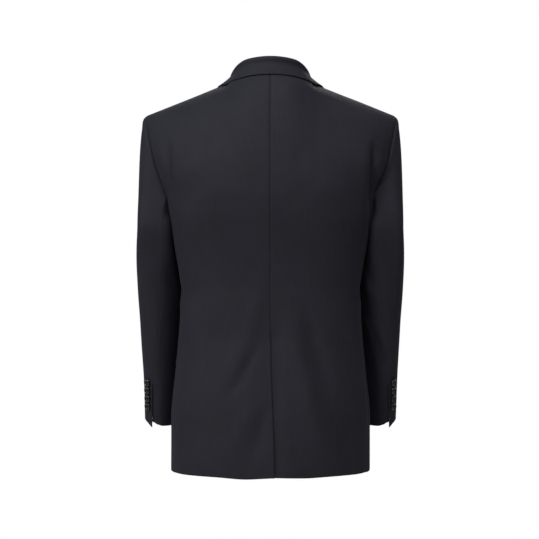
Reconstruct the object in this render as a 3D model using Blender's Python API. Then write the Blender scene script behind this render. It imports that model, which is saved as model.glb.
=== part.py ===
"""A man's suit jacket and the waistcoat worn under it, hollow as worn, built from the pieces that are cut and sewn.

Lengths are millimetres until a mesh is made, where MM turns them into Blender's metres. +X is the wearer's left,
-Y the front and +Z up. The origin lies midway between the two side neck points, where the wearer holds the garment.
"""

import math
from collections import namedtuple

import bmesh
import bpy
import numpy as np
from mathutils import Matrix, Vector

MM = 0.001

# Driving dimensions of the jacket
CLOTH = 2.0  # wall of the jacket: wool, canvas and lining together
SEAM_GAP = 0.3
HEM_Z = -692.0
NECK_X = 76.0  # side neck point, half the neck's width
NECK_DEPTH = 66.0  # from the shoulder ridge back to the neck seam
NECK_RISE = 8.0  # the neck seam at the centre back, over the side neck point
FRONT_NECK_DEPTH = 62.0
FRONT_NECK_DROP = 58.0
RIDGE_Y = -4.0  # the shoulder seam, a little forward
SHOULDER_X = 226.0  # half the width across the shoulders
SHOULDER_SLOPE = 0.40
ARMPIT_Z = -204.0  # where the side panel's two seams meet the armhole
ARMHOLE_DIP = 32.0  # how much lower the armhole runs under the arm
ARMHOLE_POWER = 0.8  # fullness of that dip
SIDE_MARGIN = 2.2 * SEAM_GAP  # the side panel's edges stop this short of its two seam lines
UPPER_POWER = 1.8  # roundness of the chest and the shoulder blades
NAPE_X = 70.0  # how far the back's fullness beside the neck reaches out
NAPE_CLIMB = 0.10  # and how far it ends below the top edge, as a share of the climb from the armpit
FRONT_POWER = 2.5
BACK_SHARE = 0.978  # the side seam at the back, as a share of the half width

# Fronts, lapels and collar
OVERLAP = 20.0  # each front past the centre line
TUCK = 5.8  # the right front lies this much under the left one
TUCK_REACH, TUCK_FADE = 40.0, 36.0  # how far past the left front's edge, and the way over which it comes out
TUCK_RISE, TUCK_RUN = 150.0, 90.0  # how far over the break, and the way over which it ends
BREAK_Z = -378.0  # where the lapels begin to roll
GORGE_Z = -66.0
LAPEL_TIP_X, LAPEL_TIP_Z = 136.0, -104.0
ROLL_LEAD = 4.0  # the lapel's fold stands this much past the front's edge
LAPEL_START = 0.03  # the lapel's lowest row, as a share of the way from the break to the gorge
LAPEL_BELLY = 0.86  # how full the lapel's outer edge is: 1 is straight
LAPEL_GAP, LAPEL_BULGE = 3 * SEAM_GAP, 4.5  # off the front at its edge, and more at its roll
BULGE_SHARE = 0.8  # the bulge ends this far across the lapel
BULGE_START, BULGE_RUN = 58.0, 70.0  # over the break
GORGE_SHARES = np.array([0.0, 0.05, 0.12, 0.24, 0.38, 0.52])  # how far the collar is sewn along the lapel's top
CUTAWAY_Z = -505.0  # the front edge turns into the round quarter here
CUTAWAY_X = 74.0  # how far the quarter has turned away at the hem
VENT_TOP_Z = -462.0
VENT_UNDERLAP = 40.0
VENT_DRIFT = 6.5  # the left panel hangs past the centre line at the hem
VENT_TUCK_RISE, VENT_TUCK_RUN = 40.0, 35.0  # the right panel goes under from this far over the vent's top
VENT_TUCK_SHARE, VENT_TUCK_FADE = 0.175, 0.125  # and comes out again this far across the panel

# Pockets
FLAP_TOP_Z, FLAP_DEPTH, FLAP_SLANT = -464.0, 52.0, 3.0
FLAP_FRONT_TURN, FLAP_SIDE_TURN = 164.0, 101.0  # degrees round the body from the centre back
WELT_START_X, WELT_END_X = 94.0, 160.0
WELT_Z, WELT_HEIGHT, WELT_SLANT = -238.0, 23.0, 9.0
FLAP_CORNER_SHARE, FLAP_CORNER = 0.08, 9.0  # each lower corner's width, as a share of the flap's, and its height

# Sleeves
CUFF_Z = -621.0
HIND_SEAM = 92.0  # degrees round the sleeve from its outer side, through the back, at the cuff
FORE_SEAM = 236.0
SEAM_MARGIN_TURN = 0.45  # degrees left open on each side of a sleeve seam
SLEEVE_POWER = 2.25  # roundness of the sleeve's front half
UNDERARM_ANGLE = 118.0  # the armhole leaves the front and back panels here, in degrees from the shoulder tip
SHOULDER_CURVE = 1.25  # how the armhole curves from the shoulder tip down the panels
CAP_END_Z = -255.0
CAP_SPREAD, UNDERARM_SPREAD = 36.0, 14.0  # how strongly the cap leaves the armhole outwards, over and under the arm
CAP_FULLNESS = 10.0  # the same, forwards and backwards
CAP_DROP = 0.3  # the same, upwards, as a share of the cap's drop
RIM_GAP, UNDERARM_GAP = 2.5 * SEAM_GAP, 2 * SEAM_GAP  # the sleeve's rim off the armhole, and more under the arm
RIM_LEAN = 0.05  # how far the rim's thickness leans away from the body, at least
CAP_SPACING = 1.25  # the top sleeve's columns stand closer together at its outer side

# Waistcoat
VEST_CLOTH = 1.6
VEST_INSET = 13.0
VEST_SHOULDER_X = 160.0
VEST_NECK_Z = -302.0
VEST_BACK_HEM_Z = -500.0
VEST_POINT_Z = -548.0
VEST_POINT_X, VEST_POINT_WIDTH = 46.0, 70.0
VEST_FRONT_DROP = 12.0  # the hem falls this much more towards the buttons
VEST_ARMHOLE_Z, VEST_ARMHOLE_STEP = -252.0, 16.0
VEST_SPREAD = 0.8  # the back's columns stand closer together at the centre
VEST_TUCK = VEST_CLOTH + 3 * SEAM_GAP  # the right front under the left one
VEST_TUCK_REACH, VEST_TUCK_FADE = 40.0, 24.0
VEST_TUCK_RISE, VEST_TUCK_RUN = 80.0, 50.0
VEST_BUTTON_Z, VEST_BUTTON_STEP = -314.0, 44.0

# Buttons
FRONT_BUTTON, CUFF_BUTTON, VEST_BUTTON = 20.0, 14.2, 15.0
TOP_BUTTON_Z, FRONT_BUTTON_STEP = -394.0, 100.0
CUFF_BUTTON_RISE, CUFF_BUTTON_STEP, CUFF_BUTTON_ANGLE = 36.0, 14.8, 73.0
CUFF_PROBE = 5.0  # the sleeve's direction at a button is read this far over and beside it
BUTTON_SIDES = 16
RimPoint = namedtuple("RimPoint", "inset height")
BUTTON_RIM = [RimPoint(0.8, 0.0), RimPoint(0.0, 0.9), RimPoint(0.0, 2.4), RimPoint(0.9, 3.6), RimPoint(3.0, 2.8)]

Level = namedtuple("Level", "z half_width back_depth front_depth back_power front_share")
LEVELS = [
    Level(-700, 178.0, 128, 133, 2.6, 0.910),
    Level(-600, 178.0, 123, 131, 2.6, 0.910),
    Level(-520, 171.5, 114, 127, 2.6, 0.910),
    Level(-440, 164.0, 104, 124, 2.6, 0.910),
    Level(-372, 160.0, 101, 124, 2.6, 0.910),
    Level(-338, 163.5, 104, 125, 2.7, 0.910),
    Level(-282, 175.0, 116, 128, 2.8, 0.910),
    Level(-236, 182.0, 125, 130, 3.0, 0.910),
    Level(-204, 188.0, 127, 130, 3.0, 0.910),
    Level(-185, 195.0, 127, 130, 3.0, 0.885),
    Level(-149, 209.0, 127, 130, 3.0, 0.862),
    Level(-120, 217.0, 127, 130, 3.0, 0.880),
    Level(-86, 225.5, 127, 130, 3.0, 0.945),
    Level(-63, 231.0, 127, 130, 3.0, 0.978),
    Level(60, 231.0, 127, 130, 3.0, 0.978),
]

SleeveRing = namedtuple("SleeveRing", "z x y half_thick half_wide turn back_power")
SLEEVE = [
    SleeveRing(-621, 199.0, -92, 29.0, 51.5, 18, 2.25),
    SleeveRing(-600, 198.5, -89, 29.5, 52.0, 18, 2.25),
    SleeveRing(-520, 197.5, -74, 32.0, 55.0, 18, 2.25),
    SleeveRing(-440, 197.5, -58, 35.6, 58.0, 17, 2.25),
    SleeveRing(-372, 198.6, -42, 37.5, 61.0, 15, 2.4),
    SleeveRing(-338, 201.4, -31, 34.8, 62.0, 12, 2.8),
    SleeveRing(-300, 205.6, -20, 29.9, 63.5, 8, 3.6),
    SleeveRing(-255, 208.4, -9, 26.8, 65.0, 3, 4.5),
]

SeamPoint = namedtuple("SeamPoint", "climb turn")
HIND_LINE = [
    SeamPoint(0.00, 112),
    SeamPoint(1.00, 122),
    SeamPoint(1.25, 120),
    SeamPoint(1.57, 107),
    SeamPoint(1.77, HIND_SEAM),
    SeamPoint(2.00, HIND_SEAM),
]

RollPoint = namedtuple("RollPoint", "z x")
ROLL_LINE = [
    RollPoint(-378, -20.0),
    RollPoint(-340, -3.0),
    RollPoint(-280, 12.0),
    RollPoint(-200, 33.0),
    RollPoint(-100, 58.5),
    RollPoint(-64, 67.0),
    RollPoint(-20, 75.0),
    RollPoint(0, 76.0),
]

VestEdge = namedtuple("VestEdge", "z neck_x armhole_x")
VEST_EDGES = [
    VestEdge(-302, -12.0, 166.0),
    VestEdge(-270, 5.0, 166.0),
    VestEdge(-252, 11.0, 166.0),
    VestEdge(-236, 16.0, 158.0),
    VestEdge(-204, 26.0, 147.0),
    VestEdge(-160, 37.0, 141.0),
    VestEdge(-100, 51.5, 145.0),
    VestEdge(-40, 68.0, 157.0),
    VestEdge(0, 76.0, 160.0),
]

CollarRib = namedtuple("CollarRib", "share fold_x fold_y fold_z edge_x edge_y")
COLLAR = [
    CollarRib(0.00, 0, 57, 40, 0, 71.5),
    CollarRib(0.25, 40, 45, 36, 54, 60),
    CollarRib(0.45, 59, 18, 25, 84, 22),
    CollarRib(0.60, 66, -14, 9, 99, -18),
    CollarRib(0.80, 66, -52, -24, 107, -60),
    CollarRib(0.90, 65, -70, -44, 107, -78),
    CollarRib(1.00, 63, -86, -62, 101, -90),
]
SIDE_NECK_SHARE = 0.5  # where the collar crosses from the back neck to the front
STAND_INSET = 2.4 * CLOTH  # the collar's stand lies this far inside the fronts' edges
INSET_START, INSET_RUN = 0.4, 0.12  # shares of the way round where it moves in
STAND_RISE = 1.6  # the stand's lower edge over the neck seam
FOLD_CLEAR, EDGE_CLEAR, FALL_CLEAR = 4 * CLOTH, CLOTH + 3.5, CLOTH + 4.0  # heights over the shoulders
ROLL_SHARE, ROLL_LEAST, ROLL_MOST = 0.16, 1.2, 4.0  # the fold's roundness, from the stand's height
CollarTurn = namedtuple("CollarTurn", "out up")
FOLD_TURNS = [CollarTurn(0.0, -0.5), CollarTurn(0.6, 0.25), CollarTurn(1.6, -0.4)]  # in units of that roundness
FallRib = namedtuple("FallRib", "share bulge")
FALL_RIBS = [FallRib(0.35, 2.0), FallRib(0.7, 1.5)]
FALL_HOLLOW, HOLLOW_END = 2.5, 0.9  # how much the fall hollows at the side of the neck, and the share where that ends
STAND_SHARE, STAND_LEAN = 0.6, 0.8  # the rib in the middle of the stand

HemWave = namedtuple("HemWave", "x width drop")
HEM_WAVES = [HemWave(52, 34, 2.6), HemWave(-66, 30, 1.2)]


class Profile:
    """A smooth curve through one named column of a table, without overshoot; it ends level, and starts so if asked."""

    def __init__(self, rows, column, along="z", level=True):
        self.at = np.array([getattr(row, along) for row in rows], dtype=float)
        self.value = np.array([getattr(row, column) for row in rows], dtype=float)
        step = np.diff(self.value) / np.diff(self.at)
        self.slope = np.zeros_like(self.value)
        product = step[:-1] * step[1:]
        total = step[:-1] + step[1:]
        inner = np.where(product > 0, 2 * product / np.where(total == 0, 1, total), 0)
        self.slope[1:-1] = inner
        if not level:
            self.slope[0] = (3 * step[0] - self.slope[1]) / 2

    def __call__(self, where):
        where = np.clip(np.asarray(where, dtype=float), self.at[0], self.at[-1])
        left = np.clip(np.searchsorted(self.at, where, side="right") - 1, 0, len(self.at) - 2)
        span = self.at[left + 1] - self.at[left]
        part = (where - self.at[left]) / span
        rise = part * part * (3 - 2 * part)
        start = part * (1 - part) ** 2 * span * self.slope[left]
        end = part * part * (part - 1) * span * self.slope[left + 1]
        return self.value[left] * (1 - rise) + self.value[left + 1] * rise + start + end


HALF_WIDTH = Profile(LEVELS, "half_width")
BACK_DEPTH = Profile(LEVELS, "back_depth")
FRONT_DEPTH = Profile(LEVELS, "front_depth")
BACK_POWER = Profile(LEVELS, "back_power")
FRONT_SHARE = Profile(LEVELS, "front_share")
ROLL_X = Profile(ROLL_LINE, "x")
VEST_NECK = Profile(VEST_EDGES, "neck_x")
VEST_ARMHOLE = Profile(VEST_EDGES, "armhole_x")


def smoothstep(value):
    value = np.clip(value, 0.0, 1.0)
    return value * value * (3 - 2 * value)


def quarter(share, power):
    """The height of a rounded quarter curve, 1 where share is 0 and 0 where it is 1."""
    return (1 - np.clip(np.abs(share), 0, 1) ** power) ** (1 / power)


class Trunk:
    """The smooth form that the panels lie on: rounded rings up to the armpit, and arches from there to the shoulder."""

    def __init__(self, inset=0.0):
        self.inset = inset

    def half_width(self, z):
        return HALF_WIDTH(z) - self.inset

    def back_edge(self, z):
        return BACK_SHARE * self.half_width(z)

    def front_edge(self, z):
        return FRONT_SHARE(z) * self.half_width(z)

    def shoulder_x(self):
        return float(self.back_edge(0.0))

    def ridge_z(self, x):
        return -SHOULDER_SLOPE * np.maximum(np.abs(x) - NECK_X, 0) - self.inset

    def back_top(self, x):
        dip = np.sqrt(np.clip(1 - (x / NECK_X) ** 2, 0, 1))
        return RIDGE_Y + (NECK_DEPTH - self.inset) * dip, self.ridge_z(x) + NECK_RISE * dip

    def front_top(self, x):
        dip = np.sqrt(np.clip(1 - (x / NECK_X) ** 2, 0, 1))
        return RIDGE_Y - FRONT_NECK_DEPTH * dip, self.ridge_z(x) - FRONT_NECK_DROP * dip

    def arch(self, z, low_y, top_y, top_z):
        climb = np.clip((z - ARMPIT_Z) / (top_z - ARMPIT_Z), 0, 1)
        return top_y + (low_y - top_y) * quarter(climb, UPPER_POWER)

    def back(self, x, z):
        """How far back the form lies at a place across and up it."""
        x, z = np.abs(x), np.asarray(z, dtype=float)
        depth = BACK_DEPTH(z) - self.inset
        ring = depth * quarter(x / self.half_width(z), BACK_POWER(z))
        share = x / self.back_edge(z)
        low = (BACK_DEPTH(ARMPIT_Z) - self.inset) * quarter(share * BACK_SHARE, BACK_POWER(ARMPIT_Z))
        top_x = share * self.shoulder_x()
        top_y, top_z = self.back_top(top_x)
        nape_y = RIDGE_Y + (NECK_DEPTH - self.inset) / (1 + (top_x / NAPE_X) ** 4)
        below = np.clip((top_z - z) / (top_z - ARMPIT_Z), 0, 1)
        top_y = top_y + (nape_y - top_y) * smoothstep(below / NAPE_CLIMB)
        return np.where(z > ARMPIT_Z, self.arch(z, low, top_y, top_z), ring)

    def front(self, x, z):
        """How far forward the form lies there, as a negative depth."""
        x, z = np.abs(x), np.asarray(z, dtype=float)
        depth = FRONT_DEPTH(z) - self.inset
        ring = -depth * quarter(x / self.half_width(z), FRONT_POWER)
        share = x / self.front_edge(z)
        low_share = share * FRONT_SHARE(ARMPIT_Z)
        low = -(FRONT_DEPTH(ARMPIT_Z) - self.inset) * quarter(low_share, FRONT_POWER)
        top_y, top_z = self.front_top(share * self.shoulder_x())
        return np.where(z > ARMPIT_Z, self.arch(z, low, top_y, top_z), ring)

    def crown(self, x, y):
        """The height of the shoulders and the neck over a place in plan, found by halving."""
        x, y = np.abs(np.asarray(x, dtype=float)), np.asarray(y, dtype=float)
        low = np.full(np.broadcast(x, y).shape, ARMPIT_Z)
        high = np.where(y > RIDGE_Y, self.back_top(x)[1], self.front_top(x)[1]) + 0 * low
        for _ in range(30):
            middle = (low + high) / 2
            outside = np.where(y > RIDGE_Y, self.back(x, middle) > y, self.front(x, middle) < y)
            low, high = np.where(outside, middle, low), np.where(outside, high, middle)
        return (low + high) / 2

    def around(self, turn, z):
        """A point of the ring at this height: turn is 0 at the centre back, 90 at the side and 180 at the front."""
        angle = np.radians(turn)
        behind = np.cos(angle) > 0
        power = np.where(behind, BACK_POWER(z), FRONT_POWER)
        depth = np.where(behind, BACK_DEPTH(z), -FRONT_DEPTH(z)) - np.where(behind, 1, -1) * self.inset
        x = self.half_width(z) * np.abs(np.sin(angle)) ** (2 / power)
        return x, depth * np.abs(np.cos(angle)) ** (2 / power)

    def back_turn(self, z):
        return np.degrees(np.arcsin(BACK_SHARE ** (BACK_POWER(z) / 2)))

    def front_turn(self, z):
        return 180 - np.degrees(np.arcsin(FRONT_SHARE(z) ** (FRONT_POWER / 2)))


JACKET = Trunk()
VEST = Trunk(VEST_INSET)


# Meshes


def cloth_finish(name, colour, roughness=0.85):
    """A plain material for one kind of piece."""
    material = bpy.data.materials.new(name)
    material.use_nodes = True
    shader = material.node_tree.nodes["Principled BSDF"]
    shader.inputs["Base Color"].default_value = (*colour, 1.0)
    shader.inputs["Roughness"].default_value = roughness
    shader.inputs["Metallic"].default_value = 0.0
    material.diffuse_color = (*colour, 1.0)
    return material


def normals_of(grid):
    """The unit normal at each point of a grid of rows and columns."""
    across = np.gradient(grid, axis=1)
    along = np.gradient(grid, axis=0)
    normal = np.cross(across, along)
    return normal / np.linalg.norm(normal, axis=2, keepdims=True)


def mirrored(grid):
    """The same grid on the wearer's other side, still facing outwards."""
    return (grid * np.array([-1.0, 1.0, 1.0]))[:, ::-1]


def make_object(name, vertices, faces, material):
    mesh = bpy.data.meshes.new(name)
    mesh.from_pydata((np.asarray(vertices) * MM).tolist(), [], faces)
    mesh.materials.append(material)
    mesh.shade_smooth()
    mesh.set_sharp_from_angle(angle=math.radians(50))
    mesh.update()
    piece = bpy.data.objects.new(name, mesh)
    bpy.context.scene.collection.objects.link(piece)
    return piece


def wall(name, grid, material, thick=CLOTH, present=None, inward=None):
    """A closed wall of cloth: the grid is its outer face, and present says which of the grid's cells it has."""
    rows, columns = grid.shape[:2]
    if inward is None:
        inward = -normals_of(grid)
    inner = grid + inward * thick
    if present is None:
        present = np.ones((rows - 1, columns - 1), dtype=bool)
    count = rows * columns

    def corner(row, column):
        return row * columns + column

    faces = []
    for row in range(rows - 1):
        for column in range(columns - 1):
            if not present[row, column]:
                continue
            ring = [
                corner(row, column),
                corner(row, column + 1),
                corner(row + 1, column + 1),
                corner(row + 1, column),
            ]
            faces.append(ring)
            faces.append([count + index for index in reversed(ring)])
            beside = [
                (row - 1, column),
                (row, column + 1),
                (row + 1, column),
                (row, column - 1),
            ]
            for side, (near_row, near_column) in enumerate(beside):
                inside = 0 <= near_row < rows - 1 and 0 <= near_column < columns - 1
                if inside and present[near_row, near_column]:
                    continue
                start, end = ring[side], ring[(side + 1) % 4]
                faces.append([end, start, count + start, count + end])
    points = np.concatenate([grid.reshape(-1, 3), inner.reshape(-1, 3)])
    used = sorted({index for face in faces for index in face})
    place = {index: order for order, index in enumerate(used)}
    return make_object(name, points[used], [[place[index] for index in face] for face in faces], material)


def fronted(trunk, z, size):
    """Where a button's back lies on the centre front, clear of the cloth behind its whole width."""
    reach = np.array([z - size / 2, z, z + size / 2])
    return (0.0, float(np.min(trunk.front(0.0, reach))) - 1.5 * SEAM_GAP, z)


def button(name, centre, normal, size, material):
    """A turned button: a flat back, a rounded rim and a sunk middle."""
    steps = BUTTON_SIDES
    vertices = []
    for point in BUTTON_RIM:
        reach = size / 2 - point.inset
        for step in range(steps):
            angle = 2 * math.pi * step / steps
            vertices.append((reach * math.cos(angle), reach * math.sin(angle), point.height))
    faces = [list(reversed(range(steps)))]
    for level in range(len(BUTTON_RIM) - 1):
        for step in range(steps):
            after = (step + 1) % steps
            low, high = level * steps, (level + 1) * steps
            faces.append([low + step, low + after, high + after, high + step])
    faces.append([(len(BUTTON_RIM) - 1) * steps + step for step in range(steps)])
    piece = make_object(name, vertices, faces, material)
    turn = Vector(normal).to_track_quat("Z", "Y").to_matrix().to_4x4()
    piece.matrix_world = Matrix.Translation(Vector(centre) * MM) @ turn
    return piece


# Jacket panels


def lower_rows(bottom, vent_rows, body_rows):
    """Heights of the rows from the hem past the top of the vent to the armpit."""
    vent = bottom + (VENT_TOP_Z - bottom) * np.linspace(0, 1, vent_rows + 1)[:-1, None]
    body = np.linspace(VENT_TOP_Z, ARMPIT_Z, body_rows + 1)[:, None] + 0 * bottom
    return np.concatenate([vent, body])


def upper_rows(top_z, count):
    """Heights of the rows from the armpit to the shoulder, closer together towards the top."""
    climb = np.sin(np.linspace(0, 1, count + 1)[1:] * math.pi / 2)[:, None]
    return ARMPIT_Z + (top_z - ARMPIT_Z) * climb


def back_hem(x):
    """The hem's height, with the soft waves that it hangs in."""
    return HEM_Z - sum(wave.drop * np.exp(-(((x - wave.x) / wave.width) ** 2)) for wave in HEM_WAVES)


def back_grid(side, vent_rows=5, body_rows=6, upper=7):
    """One back panel; side is 1 for the wearer's left. The left one hangs over the vent's underlap."""
    start = 0.5 * SEAM_GAP / float(HALF_WIDTH(BREAK_Z))
    neck_share = NECK_X / SHOULDER_X
    near, far = np.linspace(VENT_TUCK_SHARE - VENT_TUCK_FADE, neck_share, 4), np.linspace(neck_share, 1, 6)
    shares = np.concatenate([[start], near, far[1:]])
    shares[-1] -= SEAM_GAP / SHOULDER_X
    top_y, top_z = JACKET.back_top(shares * SHOULDER_X)
    bottom = back_hem(side * shares * JACKET.back_edge(HEM_Z))
    z = np.concatenate([lower_rows(bottom, vent_rows, body_rows), upper_rows(top_z, upper)])
    x = shares * JACKET.back_edge(z)
    y = JACKET.back(x, z)
    y[-1] = top_y
    grid = np.stack([x, y, z], axis=2)
    drift = VENT_DRIFT * smoothstep((VENT_TOP_Z - z) / (VENT_TOP_Z - HEM_Z)) * (1 - shares)
    if side > 0:
        grid[..., 0] -= drift
    else:
        tucked = smoothstep((VENT_TOP_Z + VENT_TUCK_RISE - z) / VENT_TUCK_RUN)
        tucked = tucked * smoothstep((VENT_TUCK_SHARE - shares) / VENT_TUCK_FADE)
        grid[..., 1] -= (CLOTH + 2 * SEAM_GAP) * tucked
    grid = grid[:, ::-1]
    return grid if side > 0 else mirrored(grid)


def level_ridge(grid):
    """Inward directions for a panel whose last row lies on the shoulder seam: straight down into the shoulder there."""
    inward = -normals_of(grid)
    inward[-1, :, 1] = 0
    inward[-1] /= np.linalg.norm(inward[-1], axis=1, keepdims=True)
    return inward


def make_back(side, material):
    grid = back_grid(side)
    if side > 0:
        return wall("back_left", grid, material, inward=level_ridge(grid))
    rows, columns = grid.shape[:2]
    heights = grid[:, 0, 2]
    flap_shares = (0.5, 1.0)
    extra = []
    for share in flap_shares:
        x = share * VENT_UNDERLAP + np.zeros(rows)
        y = JACKET.back(x, heights) - (CLOTH + 2 * SEAM_GAP)
        extra.append(np.stack([x, y, heights], axis=1))
    grid = np.concatenate([np.stack(extra[::-1], axis=1), grid], axis=1)
    present = np.ones((rows - 1, grid.shape[1] - 1), dtype=bool)
    above = heights[1:] > VENT_TOP_Z + 1
    present[above, : len(flap_shares)] = False
    return wall("back_right", grid, material, present=present, inward=level_ridge(grid))


def side_grid(rows=13, columns=6):
    """The panel under the arm, from the back seam round to the front one, its top edge hollowed for the armhole."""
    share = np.linspace(0, 1, columns + 1)[None, :]
    climb = np.linspace(0, 1, rows + 1)[:, None]
    edge = ARMPIT_Z - ARMHOLE_DIP * np.sin(math.pi * share) ** ARMHOLE_POWER
    z = HEM_Z + (edge - HEM_Z) * climb
    margin = math.degrees(SIDE_MARGIN / SHOULDER_X)
    start, end = JACKET.back_turn(z) + margin, JACKET.front_turn(z) - margin
    x, y = JACKET.around(start + (end - start) * share, z)
    return np.stack([x, y, z], axis=2)[:, ::-1]


def front_edge_x(z):
    """The left front's free edge: the roll line, then straight down, then the round quarter."""
    turn = np.clip((CUTAWAY_Z - z) / (CUTAWAY_Z - HEM_Z), 0, 1)
    quarter_x = (CUTAWAY_X + OVERLAP) * (1 - np.sqrt(1 - turn**2))
    return np.where(z > BREAK_Z, ROLL_X(z), -OVERLAP + quarter_x)


def front_grid(quarter_rows=8, body_rows=7, upper=8, columns=9):
    """The left front, from its free edge to the side panel and the armhole."""
    share = np.linspace(0, 1, columns + 1)[None, :]
    shoulder_x = NECK_X + (SHOULDER_X - NECK_X) * share
    top_z = JACKET.ridge_z(shoulder_x)
    turn = np.sin(np.linspace(1, 0, quarter_rows) * math.pi / 2)
    quarter_z = CUTAWAY_Z + (HEM_Z - CUTAWAY_Z) * turn
    rows = np.concatenate([quarter_z, np.linspace(CUTAWAY_Z, ARMPIT_Z, body_rows + 1)[1:]])
    z = np.concatenate([rows[:, None] + 0 * share, upper_rows(top_z[0], upper)])
    edge_x = front_edge_x(z)
    side_x = JACKET.front_edge(z) - SEAM_GAP
    x = edge_x + (side_x - edge_x) * share
    z = np.minimum(z, np.where(x > NECK_X, JACKET.ridge_z(x), 0.0))
    y = JACKET.front(x, z)
    y[-1] = RIDGE_Y - 2 * SEAM_GAP
    return np.stack([x, y, z], axis=2)


def tuck_depth(x, z):
    """How far the right front and its lapel lie under the left front, where the two cross."""
    across = smoothstep((OVERLAP + TUCK_REACH - x) / TUCK_FADE)
    return TUCK * across * smoothstep((BREAK_Z + TUCK_RISE - z) / TUCK_RUN)


def make_front(side, material):
    grid = front_grid()
    name = "front_left" if side > 0 else "front_right"
    if side < 0:
        grid[..., 1] += tuck_depth(grid[..., 0], grid[..., 2])
        grid = mirrored(grid)
    return wall(name, grid, material, inward=level_ridge(grid))


def lapel_lift(share, z):
    """How far a lapel's outer face stands off its front: it rolls full near its fold and lies flat at its edge."""
    across = np.sin(math.pi * np.clip(share / BULGE_SHARE, 0, 1))
    return CLOTH + LAPEL_GAP + LAPEL_BULGE * across * smoothstep((z - BREAK_Z - BULGE_START) / BULGE_RUN)


def lapel_grid(side, rows=10, columns=4):
    """A lapel: from the roll line outwards, up from the break to the gorge, moved out from its front."""
    climb = np.linspace(LAPEL_START, 1, rows + 1)[:, None]
    share = np.linspace(0, 1, columns + 1)[None, :]
    roll_z = BREAK_Z + (GORGE_Z - BREAK_Z) * climb
    roll_x = ROLL_X(roll_z) - ROLL_LEAD
    outer_z = BREAK_Z + (LAPEL_TIP_Z - BREAK_Z) * climb
    outer_x = ROLL_X(BREAK_Z) + (LAPEL_TIP_X - ROLL_X(BREAK_Z)) * climb**LAPEL_BELLY
    x = roll_x + (outer_x - roll_x) * share
    z = roll_z + (outer_z - roll_z) * share
    y = JACKET.front(x, z) - lapel_lift(share, z)
    if side < 0:
        y += tuck_depth(x, z)
    grid = np.stack([x + 0 * y, y, z + 0 * y], axis=2)
    return grid if side > 0 else mirrored(grid)


def make_lapel(side, material):
    return wall("lapel_left" if side > 0 else "lapel_right", lapel_grid(side), material)


def neck_seam(share):
    """The line that the collar is sewn to: round the back neck, then down the front along the roll line."""
    turn = np.clip(share / SIDE_NECK_SHARE, 0, 1) * math.pi / 2
    front_z = GORGE_Z * np.clip((share - SIDE_NECK_SHARE) / (1 - SIDE_NECK_SHARE), 0, 1)
    behind = share < SIDE_NECK_SHARE
    inset = STAND_INSET * smoothstep((share - INSET_START) / INSET_RUN)
    x = np.where(behind, NECK_X * np.sin(turn), ROLL_X(front_z)) - inset
    y = np.where(behind, RIDGE_Y + NECK_DEPTH * np.cos(turn), JACKET.front(x, front_z))
    z = np.where(behind, NECK_RISE * np.cos(turn), front_z)
    return np.stack([x, y, z], axis=-1)


def collar_grid(half_columns=10):
    """The collar's one sheet: up its stand from the neck seam, over the fold and down the fall."""
    share = np.linspace(0, 1, half_columns + 1)
    curve = {
        column: Profile(COLLAR, column, "share", level=not column.endswith("_x"))(share)
        for column in COLLAR[0]._fields[1:]
    }
    base = neck_seam(share) + np.array([0, 0, STAND_RISE])
    fold = np.stack([curve["fold_x"], curve["fold_y"], curve["fold_z"]], axis=1)
    clear_z = JACKET.crown(fold[:, 0], fold[:, 1]) + FOLD_CLEAR
    fold[:, 2] = np.where(share > SIDE_NECK_SHARE, np.maximum(fold[:, 2], clear_z), fold[:, 2])
    edge_z = JACKET.crown(curve["edge_x"], curve["edge_y"]) + EDGE_CLEAR
    edge = np.stack([curve["edge_x"], curve["edge_y"], edge_z], axis=1)
    height = np.linalg.norm(fold - base, axis=1, keepdims=True)
    roll = np.clip(height * ROLL_SHARE, ROLL_LEAST, ROLL_MOST)
    outwards = (edge - fold) * np.array([1.0, 1.0, 0])
    outwards /= np.linalg.norm(outwards, axis=1, keepdims=True)
    up = np.array([0, 0, 1.0])
    ribs = [base, base + (fold - base) * STAND_SHARE - outwards * STAND_LEAN]
    ribs += [fold + outwards * roll * turn.out + up * roll * turn.up for turn in FOLD_TURNS]
    hollow = FALL_HOLLOW * np.sin(math.pi * np.clip(share / HOLLOW_END, 0, 1))[:, None]
    for fall in FALL_RIBS:
        rib = fold + (edge - fold) * fall.share + outwards * (fall.bulge - hollow)
        rib[:, 2] = np.maximum(rib[:, 2], JACKET.crown(rib[:, 0], rib[:, 1]) + FALL_CLEAR)
        ribs.append(rib)
    half = np.stack([*ribs, edge], axis=0)
    start_x = ROLL_X(GORGE_Z) - ROLL_LEAD
    gorge_x = start_x + (LAPEL_TIP_X - start_x) * GORGE_SHARES
    gorge_z = GORGE_Z + (LAPEL_TIP_Z - GORGE_Z) * GORGE_SHARES + 3 * SEAM_GAP
    gorge_y = JACKET.front(gorge_x, gorge_z) - lapel_lift(GORGE_SHARES, gorge_z)
    half[2:, -1] = np.stack([gorge_x, gorge_y, gorge_z], axis=1)
    other = (half * np.array([-1.0, 1.0, 1.0]))[:, ::-1]
    return np.concatenate([other, half[:, 1:]], axis=1)


def make_collar(material):
    return wall("collar", collar_grid(), material)


# Sleeves


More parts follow.
